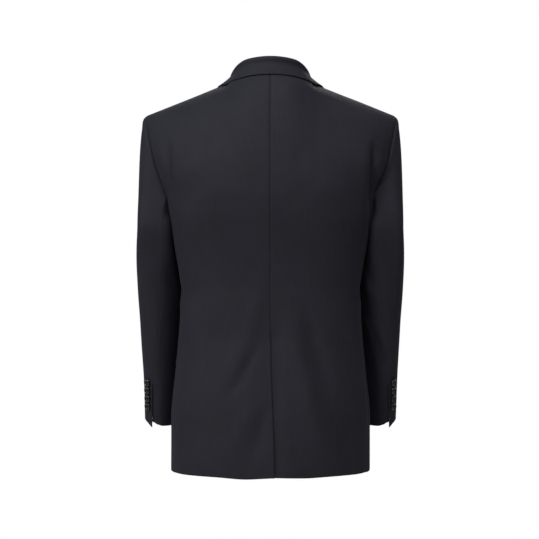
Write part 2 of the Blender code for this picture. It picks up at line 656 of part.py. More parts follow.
def armhole_loop(angle):
    """The armhole's seam line: angle is 0 at the shoulder tip, 90 at the back, 180 under the arm."""
    angle = np.asarray(angle, dtype=float)
    turn = np.mod(angle, 360)
    tip_z = float(JACKET.ridge_z(SHOULDER_X))
    back = turn <= 180
    reach = np.where(back, turn, 360 - turn)
    side_part = np.clip(reach / UNDERARM_ANGLE, 0, 1)
    z = tip_z + (ARMPIT_Z - tip_z) * np.sin(side_part * math.pi / 2) ** SHOULDER_CURVE
    x = np.where(back, JACKET.back_edge(z), JACKET.front_edge(z))
    y = np.where(back, JACKET.back(x, z), JACKET.front(x, z))
    under = reach > UNDERARM_ANGLE
    sweep = np.clip((reach - UNDERARM_ANGLE) / (180 - UNDERARM_ANGLE), 0, 1) * 0.5
    share = np.where(back, sweep, 1 - sweep)
    low_z = ARMPIT_Z - ARMHOLE_DIP * np.sin(math.pi * share) ** ARMHOLE_POWER
    start, end = JACKET.back_turn(low_z), JACKET.front_turn(low_z)
    low_x, low_y = JACKET.around(start + (end - start) * share, low_z)
    x, y, z = (np.where(under, low, high) for low, high in ((low_x, x), (low_y, y), (low_z, z)))
    return np.stack([x, y, z], axis=-1)


SLEEVE_COLUMNS = SleeveRing._fields[1:]
SLEEVE_CURVE = {column: Profile(SLEEVE, column) for column in SLEEVE_COLUMNS}
HIND_TURN = Profile(HIND_LINE, "turn", "climb")


def sleeve_ring(z, angle):
    """A point round the sleeve below the armpit: 0 degrees is its outer side and 90 its back."""
    x, y, thick, wide, turn, back_power = (SLEEVE_CURVE[column](z) for column in SLEEVE_COLUMNS)
    angle, lean = np.radians(angle), np.radians(turn)
    power = 2 / np.where(np.sin(angle) > 0, back_power, SLEEVE_POWER)
    out = thick * np.sign(np.cos(angle)) * np.abs(np.cos(angle)) ** power
    back = wide * np.sign(np.sin(angle)) * np.abs(np.sin(angle)) ** power
    place_x = x + out * np.cos(lean) + back * np.sin(lean)
    place_y = y - out * np.sin(lean) + back * np.cos(lean)
    return np.stack([place_x, place_y, z + 0 * place_x], axis=-1)


def sleeve_point(climb, angle):
    """Down the sleeve: climb runs from 0 at the armhole over 1 at the cap's end to 2 at the cuff."""
    angle = np.asarray(angle, dtype=float)
    under = (1 - np.cos(np.radians(angle))) / 2
    loop = armhole_loop(angle)
    loop[..., 0] += RIM_GAP + UNDERARM_GAP * under
    ring = sleeve_ring(np.full_like(angle, CAP_END_Z), angle)
    upper = np.clip(climb, 0, 1)
    height = 1 - under
    drop = np.linalg.norm(ring - loop, axis=-1)
    leave_x = CAP_SPREAD * height + UNDERARM_SPREAD * under
    leave_y = CAP_FULLNESS * np.sin(np.radians(angle))
    leave = np.stack([leave_x, leave_y, -CAP_DROP * drop * (1 - height / 2)], axis=-1)
    arrive = np.stack([0 * drop, 0 * drop, -drop], axis=-1)
    w = upper[..., None]
    cap = (
        loop * (1 + 2 * w) * (1 - w) ** 2
        + leave * w * (1 - w) ** 2
        + ring * w * w * (3 - 2 * w)
        + arrive * w * w * (w - 1)
    )
    down = np.clip(climb - 1, 0, 1)
    low = sleeve_ring(CAP_END_Z + (CUFF_Z - CAP_END_Z) * down, angle)
    return np.where(climb[..., None] <= 1, cap, low)


def seamed(climb, angle):
    """Angles round the sleeve, moved so that the hind seam keeps to its line."""
    share = np.where(angle < HIND_SEAM, angle / HIND_SEAM, (FORE_SEAM - angle) / (FORE_SEAM - HIND_SEAM))
    return angle + (HIND_TURN(climb) - HIND_SEAM) * np.maximum(share, 0)


def sleeve_grid(angles, cap_rows=6, arm_rows=7):
    """The outer face of one sleeve piece and its inward directions, found with a column more at each side."""
    climb = np.concatenate([np.linspace(0, 1, cap_rows + 1), 1 + np.linspace(0, 1, arm_rows + 1)[1:]])[::-1]
    before, after = 2 * angles[0] - angles[1], 2 * angles[-1] - angles[-2]
    climb, angle = np.meshgrid(climb, np.concatenate([[before], angles, [after]]), indexing="ij")
    grid = sleeve_point(climb, seamed(climb, angle))
    inward = -normals_of(grid)
    inward[-1, :, 0] = np.maximum(inward[-1, :, 0], RIM_LEAN)
    inward[-1] /= np.linalg.norm(inward[-1], axis=1, keepdims=True)
    return grid[:, 1:-1], inward[:, 1:-1]


def make_sleeve(piece, side, material):
    if piece == "top_sleeve":
        fore, hind = FORE_SEAM - 360 + SEAM_MARGIN_TURN, HIND_SEAM - SEAM_MARGIN_TURN
        share = np.linspace(0, 1, 8)[1:] ** CAP_SPACING
        angles = np.concatenate([fore * share[::-1], [0.0], hind * share[1:]])
    else:
        angles = np.linspace(HIND_SEAM + SEAM_MARGIN_TURN, FORE_SEAM - SEAM_MARGIN_TURN, 9)
    grid, inward = sleeve_grid(angles)
    if side < 0:
        grid, inward = mirrored(grid), mirrored(inward)
    return wall(f"{piece}_{'left' if side > 0 else 'right'}", grid, material, inward=inward)


# Pockets and buttons


def moved_out(grid, lift=CLOTH + 2 * SEAM_GAP):
    """A panel's points, moved out so that what is sewn on it lies just clear of it."""
    return grid + normals_of(grid) * lift


def flap_grid(rows=4, columns=8):
    """A hip pocket's flap on the left side, over the seam of the side panel, with rounded lower corners."""
    share = np.linspace(0, 1, columns + 1)[None, :]
    fall = np.linspace(1, 0, rows + 1)[:, None]
    into_corner = (np.abs(share - 0.5) - 0.5 + FLAP_CORNER_SHARE) / FLAP_CORNER_SHARE
    corner = np.sqrt(1 - np.clip(into_corner, 0, 0.97) ** 2)
    depth = FLAP_DEPTH - FLAP_CORNER * (1 - corner)
    z = FLAP_TOP_Z + FLAP_SLANT * share - depth * fall + 0 * share
    turn = FLAP_FRONT_TURN + (FLAP_SIDE_TURN - FLAP_FRONT_TURN) * share + 0 * z
    x, y = JACKET.around(turn, z)
    return moved_out(np.stack([x, y, z], axis=2))


def make_flap(side, material):
    grid = flap_grid()
    name = "pocket_flap_left" if side > 0 else "pocket_flap_right"
    return wall(name, grid if side > 0 else mirrored(grid), material)


def make_breast_welt(material, rows=2, columns=6):
    """The slanting welt of the breast pocket, on the wearer's left."""
    share = np.linspace(0, 1, columns + 1)[None, :]
    climb = np.linspace(0, 1, rows + 1)[:, None]
    x = WELT_START_X + (WELT_END_X - WELT_START_X) * share + 0 * climb
    z = WELT_Z + WELT_SLANT * share + WELT_HEIGHT * climb
    grid = np.stack([x, JACKET.front(x, z), z], axis=2)
    return wall("breast_welt", moved_out(grid), material)


def make_front_buttons(material):
    for number in range(2):
        z = TOP_BUTTON_Z - FRONT_BUTTON_STEP * number
        button(f"front_button_{number + 1}", fronted(JACKET, z, FRONT_BUTTON), (0, -1, 0), FRONT_BUTTON, material)


def make_cuff_buttons(side, material):
    name = "left" if side > 0 else "right"
    for number in range(4):
        z = CUFF_Z + CUFF_BUTTON_RISE + CUFF_BUTTON_STEP * number
        heights, angles = np.array([0, 1, 0]) * CUFF_PROBE, np.array([0, 0, -1]) * CUFF_PROBE
        place, over, beside = sleeve_ring(z + heights, CUFF_BUTTON_ANGLE + angles)
        normal = np.cross(beside - place, over - place)
        normal *= np.sign(normal[0]) / np.linalg.norm(normal)
        centre = place + normal * 2 * SEAM_GAP
        flip = np.array([side, 1, 1])
        button(f"cuff_button_{name}_{number + 1}", centre * flip, normal * flip, CUFF_BUTTON, material)


# Waistcoat


def vest_edge(z):
    """Half the waistcoat's width: round to the side seam, then in along its armhole to the shoulder."""
    return np.where(z > VEST_ARMHOLE_Z, VEST_ARMHOLE(z), VEST.half_width(z))


def vest_turn(x, z, power):
    """The angle round the waistcoat, in degrees, at which it lies this far across."""
    share = np.clip(np.abs(x) / VEST.half_width(z), 0, 1) ** (power / 2)
    return np.degrees(np.arcsin(share)) * np.sign(x)


def vest_rows(bottom, top_z, body_rows=5, top_rows=6):
    """Heights of the rows from the hem past the armhole's foot to the shoulder."""
    body = bottom + (VEST_ARMHOLE_Z - bottom) * np.linspace(0, 1, body_rows + 1)[:, None]
    scye = np.array([VEST_ARMHOLE_Z + VEST_ARMHOLE_STEP, ARMPIT_Z])[:, None] + 0 * top_z
    return np.concatenate([body + 0 * top_z, scye, upper_rows(top_z, top_rows)])


def make_vest_back(material, half_columns=6):
    share = np.linspace(-1, 1, 2 * half_columns + 1)[None, :]
    spread = np.sin(np.abs(share) * math.pi / 2) ** VEST_SPREAD * np.sign(share)
    top_x = spread * VEST_SHOULDER_X
    top_y, top_z = VEST.back_top(top_x)
    z = vest_rows(VEST_BACK_HEM_Z + 0 * spread, top_z)
    power = BACK_POWER(z)
    turn = vest_turn(vest_edge(z), z, power) * share
    ring_x = VEST.half_width(z) * np.abs(np.sin(np.radians(turn))) ** (2 / power) * np.sign(turn)
    x = np.where(z > VEST_ARMHOLE_Z, spread * vest_edge(z), ring_x)
    y = VEST.back(x, z)
    y[-1] = top_y
    y = np.maximum(y, SEAM_GAP)
    grid = np.stack([x, y, z], axis=2)[:, ::-1]
    return wall("vest_back", grid, material, thick=VEST_CLOTH, inward=level_ridge(grid))


def make_vest_front(side, material, columns=8):
    """A waistcoat front, from its V neck and buttoned edge to the side seam and the armhole."""
    share = np.linspace(0, 1, columns + 1)[None, :]
    top_x = NECK_X + (VEST_SHOULDER_X - NECK_X) * share
    point = np.clip(1 - np.abs(share * VEST_SHOULDER_X - VEST_POINT_X) / VEST_POINT_WIDTH, 0, 1)
    bottom = VEST_BACK_HEM_Z + (VEST_POINT_Z - VEST_BACK_HEM_Z) * point - VEST_FRONT_DROP * (1 - share)
    z = vest_rows(bottom, VEST.ridge_z(top_x))
    edge_x = VEST_NECK(z)
    start = vest_turn(edge_x, z, FRONT_POWER)
    end = vest_turn(vest_edge(z), z, FRONT_POWER)
    turn = np.radians(start + (end - start) * share)
    ring_x = VEST.half_width(z) * np.abs(np.sin(turn)) ** (2 / FRONT_POWER) * np.sign(turn)
    x = np.where(z > ARMPIT_Z, edge_x + (vest_edge(z) - edge_x) * share, ring_x)
    z = np.minimum(z, np.where(x > NECK_X, VEST.ridge_z(x), z))
    y = np.minimum(VEST.front(x, z), -SEAM_GAP)
    y[-1] = RIDGE_Y - 2 * SEAM_GAP
    if side < 0:
        across = smoothstep((VEST_TUCK_REACH - x) / VEST_TUCK_FADE)
        y += VEST_TUCK * across * smoothstep((VEST_NECK_Z + VEST_TUCK_RISE - z) / VEST_TUCK_RUN)
    grid = np.stack([x, y, z], axis=2)
    if side < 0:
        grid = mirrored(grid)
    name = "vest_front_left" if side > 0 else "vest_front_right"
    return wall(name, grid, material, thick=VEST_CLOTH, inward=level_ridge(grid))


def make_vest_buttons(material):
    for number in range(5):
        z = VEST_BUTTON_Z - VEST_BUTTON_STEP * number
        button(f"vest_button_{number + 1}", fronted(VEST, z, VEST_BUTTON), (0, -1, 0), VEST_BUTTON, material)


def clear_scene():
    for item in list(bpy.data.objects):
        bpy.data.objects.remove(item, do_unlink=True)


def main():
    clear_scene()
    wool = cloth_finish("navy_wool", (0.022, 0.022, 0.032))
    horn = cloth_finish("dark_button", (0.012, 0.011, 0.013), roughness=0.35)
    for side in (1, -1):
        make_back(side, wool)
        make_front(side, wool)
        grid = side_grid()
        wall(f"side_{'left' if side > 0 else 'right'}", grid if side > 0 else mirrored(grid), wool)
        make_lapel(side, wool)
        make_flap(side, wool)
        for piece in ("top_sleeve", "under_sleeve"):
            make_sleeve(piece, side, wool)
        make_cuff_buttons(side, horn)
        make_vest_front(side, wool)
    make_collar(wool)
    make_breast_welt(wool)
    make_front_buttons(horn)
    make_vest_back(wool)
    make_vest_buttons(horn)


if __name__ == "__main__":
    main()
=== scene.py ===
"""Looks of a man's suit jacket worn over its waistcoat: wool, lining, horn buttons and their stitching.

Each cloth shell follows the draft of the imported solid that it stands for. Lengths are millimetres, with
+X to the wearer's left, -Y to the front and +Z up, and turn into metres when a mesh is made.
"""

import logging
import math
from collections.abc import Sequence
from dataclasses import dataclass, field
from enum import Enum
from typing import Any, NamedTuple

import bmesh
import bpy
import numpy as np
from mathutils import Matrix, Vector


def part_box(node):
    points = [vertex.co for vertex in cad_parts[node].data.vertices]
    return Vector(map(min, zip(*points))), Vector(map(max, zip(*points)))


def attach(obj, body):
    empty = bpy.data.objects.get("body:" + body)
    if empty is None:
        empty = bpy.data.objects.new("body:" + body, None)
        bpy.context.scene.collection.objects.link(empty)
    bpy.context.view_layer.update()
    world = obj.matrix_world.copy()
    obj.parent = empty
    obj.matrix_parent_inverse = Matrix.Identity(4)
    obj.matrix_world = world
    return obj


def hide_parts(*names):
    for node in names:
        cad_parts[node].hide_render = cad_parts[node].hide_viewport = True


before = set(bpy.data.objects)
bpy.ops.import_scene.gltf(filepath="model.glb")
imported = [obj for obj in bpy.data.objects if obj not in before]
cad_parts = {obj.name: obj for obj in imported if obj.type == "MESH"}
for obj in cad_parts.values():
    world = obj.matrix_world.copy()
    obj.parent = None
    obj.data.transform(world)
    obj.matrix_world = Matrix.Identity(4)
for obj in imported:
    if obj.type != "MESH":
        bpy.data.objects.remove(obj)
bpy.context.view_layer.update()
log = logging.getLogger("suit")

MM = 0.001
Grid = np.ndarray
Place = tuple[float, float]
Triple = tuple[float, float, float]
Material = bpy.types.Material
Mesh = bpy.types.Mesh
Node = bpy.types.Node
Object = bpy.types.Object
Socket = bpy.types.NodeSocket

# The draft that every piece shares
CLOTH = 2.0
VEST_CLOTH = 1.6
SEAM_GAP = 0.3
HEM_Z = -692.0
NECK_X = 76.0
SHOULDER_X = 226.0
RIDGE_Y = -4.0
ARMPIT_Z = -204.0
ARMHOLE_DIP = 32.0
ARMHOLE_POWER = 0.8
BREAK_Z = -378.0
ELBOW_Z = -440.0
OVERLAP = 20.0
VENT_TOP_Z = -462.0
BACK_SHARE = 0.978
FRONT_POWER = 2.5
FINE = (0.8, 1.8, 3.2, 5.2)  # where a shell's rows and columns lie beside an edge
EDGE_BULGE = 0.30  # how far a cut edge rounds outwards, as a share of the cloth's thickness
EDGE_PRESSED = 0.12  # how much of that pressing takes away
EDGE_TUCK = 0.22  # how far the edge's corners round in
FORWARD = np.array([0.0, -1.0, 0.0])


class Side(Enum):
    """A side of the wearer, as the sign of its X."""

    LEFT = 1
    RIGHT = -1

    def of(self, part: str) -> str:
        """A part's name on this side."""
        return f"{part}_{self.name.lower()}"

    def pick(self, left: Any, right: Any) -> Any:
        """Whichever of two belongs to this side."""
        return left if self is Side.LEFT else right


class Edge(Enum):
    """An edge of a drafted grid."""

    FIRST = "first column"
    LAST = "last column"
    TOP = "last row"


class Level(NamedTuple):
    """One height of the trunk's form."""

    z: float
    half_width: float
    back_depth: float
    front_depth: float
    back_power: float
    front_share: float


LEVELS = [
    Level(-700, 178.0, 128, 133, 2.6, 0.910),
    Level(-600, 178.0, 123, 131, 2.6, 0.910),
    Level(-520, 171.5, 114, 127, 2.6, 0.910),
    Level(-440, 164.0, 104, 124, 2.6, 0.910),
    Level(-372, 160.0, 103, 124, 2.6, 0.910),
    Level(-338, 163.5, 105.5, 125, 2.7, 0.910),
    Level(-282, 175.0, 114.5, 128, 2.8, 0.910),
    Level(-236, 182.0, 123, 130, 3.0, 0.910),
    Level(-204, 188.0, 126.2, 130, 3.0, 0.910),
    Level(-185, 195.0, 127, 130, 3.0, 0.885),
    Level(-149, 209.0, 127, 130, 3.0, 0.862),
    Level(-120, 217.0, 127, 130, 3.0, 0.880),
    Level(-86, 225.5, 127, 130, 3.0, 0.945),
    Level(-63, 231.0, 127, 130, 3.0, 0.978),
    Level(60, 231.0, 127, 130, 3.0, 0.978),
]


class SleeveRing(NamedTuple):
    """One section of the sleeve: turn is how far its width swings towards the body, in degrees."""

    z: float
    x: float
    y: float
    half_thick: float
    half_wide: float
    turn: float
    back_power: float


SLEEVE = [
    SleeveRing(-621, 199.0, -92, 29.0, 51.5, 18, 2.25),
    SleeveRing(-600, 198.5, -89, 29.5, 52.0, 18, 2.25),
    SleeveRing(-520, 197.5, -74, 32.0, 55.0, 18, 2.25),
    SleeveRing(-440, 197.5, -58, 35.6, 58.0, 17, 2.25),
    SleeveRing(-372, 198.6, -42, 37.5, 61.0, 15, 2.4),
    SleeveRing(-338, 201.4, -31, 34.8, 62.0, 12, 2.8),
    SleeveRing(-300, 205.6, -20, 29.9, 63.5, 8, 3.6),
    SleeveRing(-255, 208.4, -9, 26.8, 65.0, 3, 4.5),
]


class SeamPoint(NamedTuple):
    """A place on the sleeve's hind seam: degrees round the sleeve from its outer side, through the back."""

    climb: float
    turn: float


HIND_LINE = [
    SeamPoint(0.00, 112),
    SeamPoint(1.00, 122),
    SeamPoint(1.25, 120),
    SeamPoint(1.57, 104),
    SeamPoint(1.77, 90),
    SeamPoint(2.00, 87),
]


class RollPoint(NamedTuple):
    """A place on the line that the lapel rolls along."""

    z: float
    x: float


ROLL_LINE = [
    RollPoint(-378, -20.0),
    RollPoint(-340, -3.0),
    RollPoint(-280, 12.0),
    RollPoint(-200, 33.0),
    RollPoint(-100, 58.5),
    RollPoint(-64, 67.0),
    RollPoint(-20, 75.0),
    RollPoint(0, 76.0),
]


class VestEdge(NamedTuple):
    """The waistcoat's neck and armhole edges at one height."""

    z: float
    neck_x: float
    armhole_x: float


VEST_EDGES = [
    VestEdge(-302, -12.0, 166.0),
    VestEdge(-270, 5.0, 166.0),
    VestEdge(-252, 11.0, 166.0),
    VestEdge(-236, 16.0, 158.0),
    VestEdge(-204, 26.0, 147.0),
    VestEdge(-160, 37.0, 141.0),
    VestEdge(-100, 51.5, 145.0),
    VestEdge(-40, 68.0, 157.0),
    VestEdge(0, 76.0, 160.0),
]


class CollarRib(NamedTuple):
    """Half the collar at one share of its length: its fold and its outer edge."""

    share: float
    fold_x: float
    fold_y: float
    fold_z: float
    edge_x: float
    edge_y: float


COLLAR = [
    CollarRib(0.00, 0, 57, 40, 0, 71.5),
    CollarRib(0.25, 40, 45, 36, 54, 60),
    CollarRib(0.45, 59, 18, 25, 84, 22),
    CollarRib(0.60, 66, -14, 9, 99, -18),
    CollarRib(0.80, 66, -52, -24, 107, -60),
    CollarRib(0.90, 65, -70, -44, 107, -78),
    CollarRib(1.00, 63, -86, -62, 101, -90),
]


# Forms


class Profile:
    """A smooth curve through one named column of a table, without overshoot."""

    def __init__(self, rows: Sequence[NamedTuple], column: str, along: str = "z", level: bool = True) -> None:
        """Reads the column.

        Args:
            rows: the table, in order.
            column: the column that the curve gives.
            along: the column that it is asked for.
            level: whether the curve starts level, as it always ends.
        """
        self.at = np.array([getattr(row, along) for row in rows], dtype=float)
        self.value = np.array([getattr(row, column) for row in rows], dtype=float)
        step = np.diff(self.value) / np.diff(self.at)
        product, total = step[:-1] * step[1:], step[:-1] + step[1:]
        self.slope = np.zeros_like(self.value)
        self.slope[1:-1] = np.where(product > 0, 2 * product / np.where(total == 0, 1, total), 0)
        if not level:
            self.slope[0] = (3 * step[0] - self.slope[1]) / 2

    def __call__(self, where: Grid | float) -> Grid:
        """The curve's value.

        Args:
            where: places along the table.

        Returns:
            The value at each place.
        """
        where = np.clip(np.asarray(where, dtype=float), self.at[0], self.at[-1])
        return drawn(self.at, self.value, self.slope, where)


def drawn(at: Grid, value: Grid, slope: Grid, where: Grid) -> Grid:
    """A smooth line drawn through some values.

    Args:
        at: each value's place along the line.
        value: the values, or points.
        slope: how fast each changes there.
        where: the places to give.

    Returns:
        A value for each of those places.
    """
    left = np.clip(np.searchsorted(at, where, side="right") - 1, 0, len(at) - 2)
    span = at[left + 1] - at[left]
    part = (where - at[left]) / span
    if value.ndim > 1:
        shape = (-1,) + (1,) * (value.ndim - 1)
        span, part = span.reshape(shape), part.reshape(shape)
    rise = part * part * (3 - 2 * part)
    start = part * (1 - part) ** 2 * span * slope[left]
    end = part * part * (part - 1) * span * slope[left + 1]
    return value[left] * (1 - rise) + value[left + 1] * rise + start + end


HALF_WIDTH = Profile(LEVELS, "half_width")
BACK_DEPTH = Profile(LEVELS, "back_depth")
FRONT_DEPTH = Profile(LEVELS, "front_depth")
BACK_POWER = Profile(LEVELS, "back_power")
FRONT_SHARE = Profile(LEVELS, "front_share")
ROLL_X = Profile(ROLL_LINE, "x")
VEST_NECK = Profile(VEST_EDGES, "neck_x")
VEST_ARMHOLE = Profile(VEST_EDGES, "armhole_x")


def smoothstep(value: Grid | float) -> Grid:
    """An even rise from 0 at 0 to 1 at 1."""
    value = np.clip(value, 0.0, 1.0)
    return value * value * (3 - 2 * value)


def bell(distance: Grid | float, width: float) -> Grid:
    """A soft hump: 1 at no distance, fading to 0 past the width."""
    return np.exp(-((distance / width) ** 2))


def unit(vectors: Grid) -> Grid:
    """The vectors with a length of 1."""
    return vectors / np.linalg.norm(vectors, axis=-1, keepdims=True)


def band(z: Grid, top: float, top_run: float, foot: float, foot_run: float) -> Grid:
    """1 between two heights, fading to 0 over a run at each."""
    return smoothstep((top - z) / top_run) * smoothstep((z - foot) / foot_run)


def bowed(value: Grid, power: Grid | float) -> Grid:
    """A value raised to a power, with its sign kept."""
    return np.sign(value) * np.abs(value) ** power


def xyz(x: Grid, y: Grid, z: Grid) -> Grid:
    """Points from their coordinates."""
    return np.stack(np.broadcast_arrays(x, y, z), axis=-1)


def neck_dip(x: Grid) -> Grid:
    """The round of the neck's opening, 1 at the centre and 0 at the shoulder seam's start."""
    return np.sqrt(np.clip(1 - (x / NECK_X) ** 2, 0, 1))


def quarter(share: Grid, power: Grid | float) -> Grid:
    """The height of a rounded quarter curve, 1 where share is 0 and 0 where it is 1."""
    return (1 - np.clip(np.abs(share), 0, 1) ** power) ** (1 / power)


@dataclass(frozen=True)
class Trunk:
    """The form that the panels lie on: rounded rings up to the armpit, and arches above it."""

    inset: float = 0.0
    neck_depth: float = 66.0
    neck_rise: float = 8.0
    front_neck_depth: float = 62.0
    front_neck_drop: float = 58.0
    shoulder_slope: float = 0.40
    upper_power: float = 1.8
    nape_x: float = 70.0  # how far the fullness beside the neck reaches out
    nape_climb: float = 0.10  # and how far it ends below the top edge, as a share of the climb

    def half_width(self, z: Grid) -> Grid:
        """Half the form's width at a height."""
        return HALF_WIDTH(z) - self.inset

    def back_edge(self, z: Grid) -> Grid:
        """Where the back meets the side panel or the armhole."""
        return BACK_SHARE * self.half_width(z)

    def front_edge(self, z: Grid) -> Grid:
        """Where the front meets the side panel or the armhole."""
        return FRONT_SHARE(z) * self.half_width(z)

    def ridge_z(self, x: Grid) -> Grid:
        """The shoulder seam's height."""
        return -self.shoulder_slope * np.maximum(np.abs(x) - NECK_X, 0) - self.inset

    def back_top(self, x: Grid) -> tuple[Grid, Grid]:
        """The depth and height of the back's top edge."""
        dip = neck_dip(x)
        return RIDGE_Y + (self.neck_depth - self.inset) * dip, self.ridge_z(x) + self.neck_rise * dip

    def front_top(self, x: Grid) -> tuple[Grid, Grid]:
        """The depth and height of the front's top edge."""
        dip = neck_dip(x)
        return RIDGE_Y - self.front_neck_depth * dip, self.ridge_z(x) - self.front_neck_drop * dip

    def arch(self, z: Grid, low_y: Grid, top_y: Grid, top_z: Grid) -> Grid:
        """The depth on the way from the armpit's height up to the top edge."""
        climb = np.clip((z - ARMPIT_Z) / (top_z - ARMPIT_Z), 0, 1)
        return top_y + (low_y - top_y) * quarter(climb, self.upper_power)

    def back(self, x: Grid, z: Grid) -> Grid:
        """How far back the form lies at a place across and up it."""
        x, z = np.abs(x), np.asarray(z, dtype=float)
        ring = (BACK_DEPTH(z) - self.inset) * quarter(x / self.half_width(z), BACK_POWER(z))
        share = x / self.back_edge(z)
        low = (BACK_DEPTH(ARMPIT_Z) - self.inset) * quarter(share * BACK_SHARE, BACK_POWER(ARMPIT_Z))
        top_x = share * float(self.back_edge(0.0))
        top_y, top_z = self.back_top(top_x)
        nape_y = RIDGE_Y + (self.neck_depth - self.inset) / (1 + (top_x / self.nape_x) ** 4)
        below = np.clip((top_z - z) / (top_z - ARMPIT_Z), 0, 1)
        top_y = top_y + (nape_y - top_y) * smoothstep(below / self.nape_climb)
        return np.where(z > ARMPIT_Z, self.arch(z, low, top_y, top_z), ring)

    def front(self, x: Grid, z: Grid) -> Grid:
        """How far forward the form lies there, as a negative depth."""
        x, z = np.abs(x), np.asarray(z, dtype=float)
        ring = -(FRONT_DEPTH(z) - self.inset) * quarter(x / self.half_width(z), FRONT_POWER)
        share = x / self.front_edge(z)
        low_share = share * FRONT_SHARE(ARMPIT_Z)
        low = -(FRONT_DEPTH(ARMPIT_Z) - self.inset) * quarter(low_share, FRONT_POWER)
        top_y, top_z = self.front_top(share * float(self.back_edge(0.0)))
        return np.where(z > ARMPIT_Z, self.arch(z, low, top_y, top_z), ring)

    def crown(self, x: Grid, y: Grid) -> Grid:
        """The height of the shoulders and the neck over a place in plan, found by halving."""
        x, y = np.abs(np.asarray(x, dtype=float)), np.asarray(y, dtype=float)
        low = np.full(np.broadcast(x, y).shape, ARMPIT_Z)
        high = np.where(y > RIDGE_Y, self.back_top(x)[1], self.front_top(x)[1]) + 0 * low
        for _ in range(30):
            middle = (low + high) / 2
            outside = np.where(y > RIDGE_Y, self.back(x, middle) > y, self.front(x, middle) < y)
            low, high = np.where(outside, middle, low), np.where(outside, high, middle)
        return (low + high) / 2

    def around(self, turn: Grid, z: Grid) -> tuple[Grid, Grid]:
        """A point of the ring at a height; turn is 0 at the centre back and 180 at the centre front."""
        angle = np.radians(turn)
        behind = np.cos(angle) > 0
        power = np.where(behind, BACK_POWER(z), FRONT_POWER)
        depth = np.where(behind, BACK_DEPTH(z), -FRONT_DEPTH(z)) - np.where(behind, 1, -1) * self.inset
        x = self.half_width(z) * np.abs(np.sin(angle)) ** (2 / power)
        return x, depth * np.abs(np.cos(angle)) ** (2 / power)

    def beside(self, share: Grid, z: Grid, margin: float = 0.0) -> tuple[Grid, Grid]:
        """A point of the side panel, at a share of the way from the back panel to the front."""
        start = np.degrees(np.arcsin(BACK_SHARE ** (BACK_POWER(z) / 2))) + margin
        end = 180 - np.degrees(np.arcsin(FRONT_SHARE(z) ** (FRONT_POWER / 2))) - margin
        return self.around(start + (end - start) * share, z)


def armhole_foot(share: Grid) -> Grid:
    """The height of the armhole's lower edge, round the side panel from the back to the front."""
    return ARMPIT_Z - ARMHOLE_DIP * np.sin(math.pi * share) ** ARMHOLE_POWER


JACKET = Trunk()
VEST = Trunk(inset=13.0)


# How cloth lies


@dataclass(frozen=True)
class Crease:
    """A soft ridge, or a trough where its height is negative, along a bent line on the cloth."""

    path: tuple[Place, Place, Place]  # across and up, in place coordinates
    height: float
    width: float
    spread: float = 1.0  # how much wider it is at its end
    steps: int = 14

    def lift(self, across: Grid, up: Grid) -> Grid:
        """How far the crease lifts the cloth.

        Args:
            across: each point's place across the cloth.
            up: each point's place up it.

        Returns:
            The lift at each point.
        """
        first, middle, last = (np.array(place, dtype=float) for place in self.path)
        pull = 2 * middle - (first + last) / 2
        part = np.linspace(0, 1, self.steps + 1)[:, None]
        line = (1 - part) ** 2 * first + 2 * part * (1 - part) * pull + part**2 * last
        away, along = np.full(across.shape, np.inf), np.zeros(across.shape)
        for number in range(self.steps):
            run = line[number + 1] - line[number]
            reach = (across - line[number, 0]) * run[0] + (up - line[number, 1]) * run[1]
            share = np.clip(reach / (run @ run), 0, 1)
            gap = np.hypot(across - line[number, 0] - share * run[0], up - line[number, 1] - share * run[1])
            nearer = gap < away
            away, along = np.where(nearer, gap, away), np.where(nearer, (number + share) / self.steps, along)
        width = self.width * (1 + (self.spread - 1) * along)
        ends = smoothstep(along / 0.4) * smoothstep((1 - along) / 0.4)
        return self.height * ends * bell(away, width)


@dataclass(frozen=True)
class Ripple:
    """The slight unevenness of cloth that hangs: a few long waves with seeded directions."""

    seed: int
    height: float = 0.45
    waves: int = 6
    longest: float = 190.0
    shortest: float = 60.0

    def lift(self, across: Grid, up: Grid) -> Grid:
        """How far the waves lift the cloth at each place across and up it."""
        draw = np.random.default_rng(self.seed)
        total = np.zeros(across.shape)
        for _ in range(self.waves):
            turn, phase = draw.uniform(-0.6, 0.6), draw.uniform(0, 2 * math.pi)
            length = draw.uniform(self.shortest, self.longest)
            travel = across * math.cos(turn) + up * math.sin(turn) * 0.7
            total += np.sin(2 * math.pi * travel / length + phase) * length / self.longest
        return total * self.height / math.sqrt(self.waves)


def eased(length: float, step: float, start: bool = True, end: bool = True) -> Grid:
    """Shares from 0 to 1 along a length, closer together beside an edge.

    Args:
        length: the length in millimetres.
        step: the spacing away from the edges.
        start: whether the start is such an edge.
        end: whether the end is.

    Returns:
        The shares, in order.
    """
    fine = np.array(FINE) / length
    low, high = (fine[-1] if start else 0.0), (1 - fine[-1] if end else 1.0)
    middle = np.linspace(low, high, max(2, round((high - low) * length / step)) + 1)
    before = [0.0, *fine[:-1]] if start else []
    after = [*(1 - fine[:-1])[::-1], 1.0] if end else []
    return np.concatenate([before, middle, after])


def normals_of(grid: Grid) -> Grid:
    """The unit normal at each point of a grid of rows and columns."""
    return unit(np.cross(np.gradient(grid, axis=1), np.gradient(grid, axis=0)))


def cells_of(grid: Grid) -> Grid:
    """True for each cell of a grid."""
    return np.ones((grid.shape[0] - 1, grid.shape[1] - 1), dtype=bool)


def travelled(grid: Grid, axis: int) -> Grid:
    """The length of cloth from the grid's start along rows (axis 1) or columns (axis 0) to each point."""
    steps = np.linalg.norm(np.diff(grid, axis=axis), axis=2)
    pad = [(0, 0), (1, 0)] if axis == 1 else [(1, 0), (0, 0)]
    return np.pad(np.cumsum(steps, axis=axis), pad)


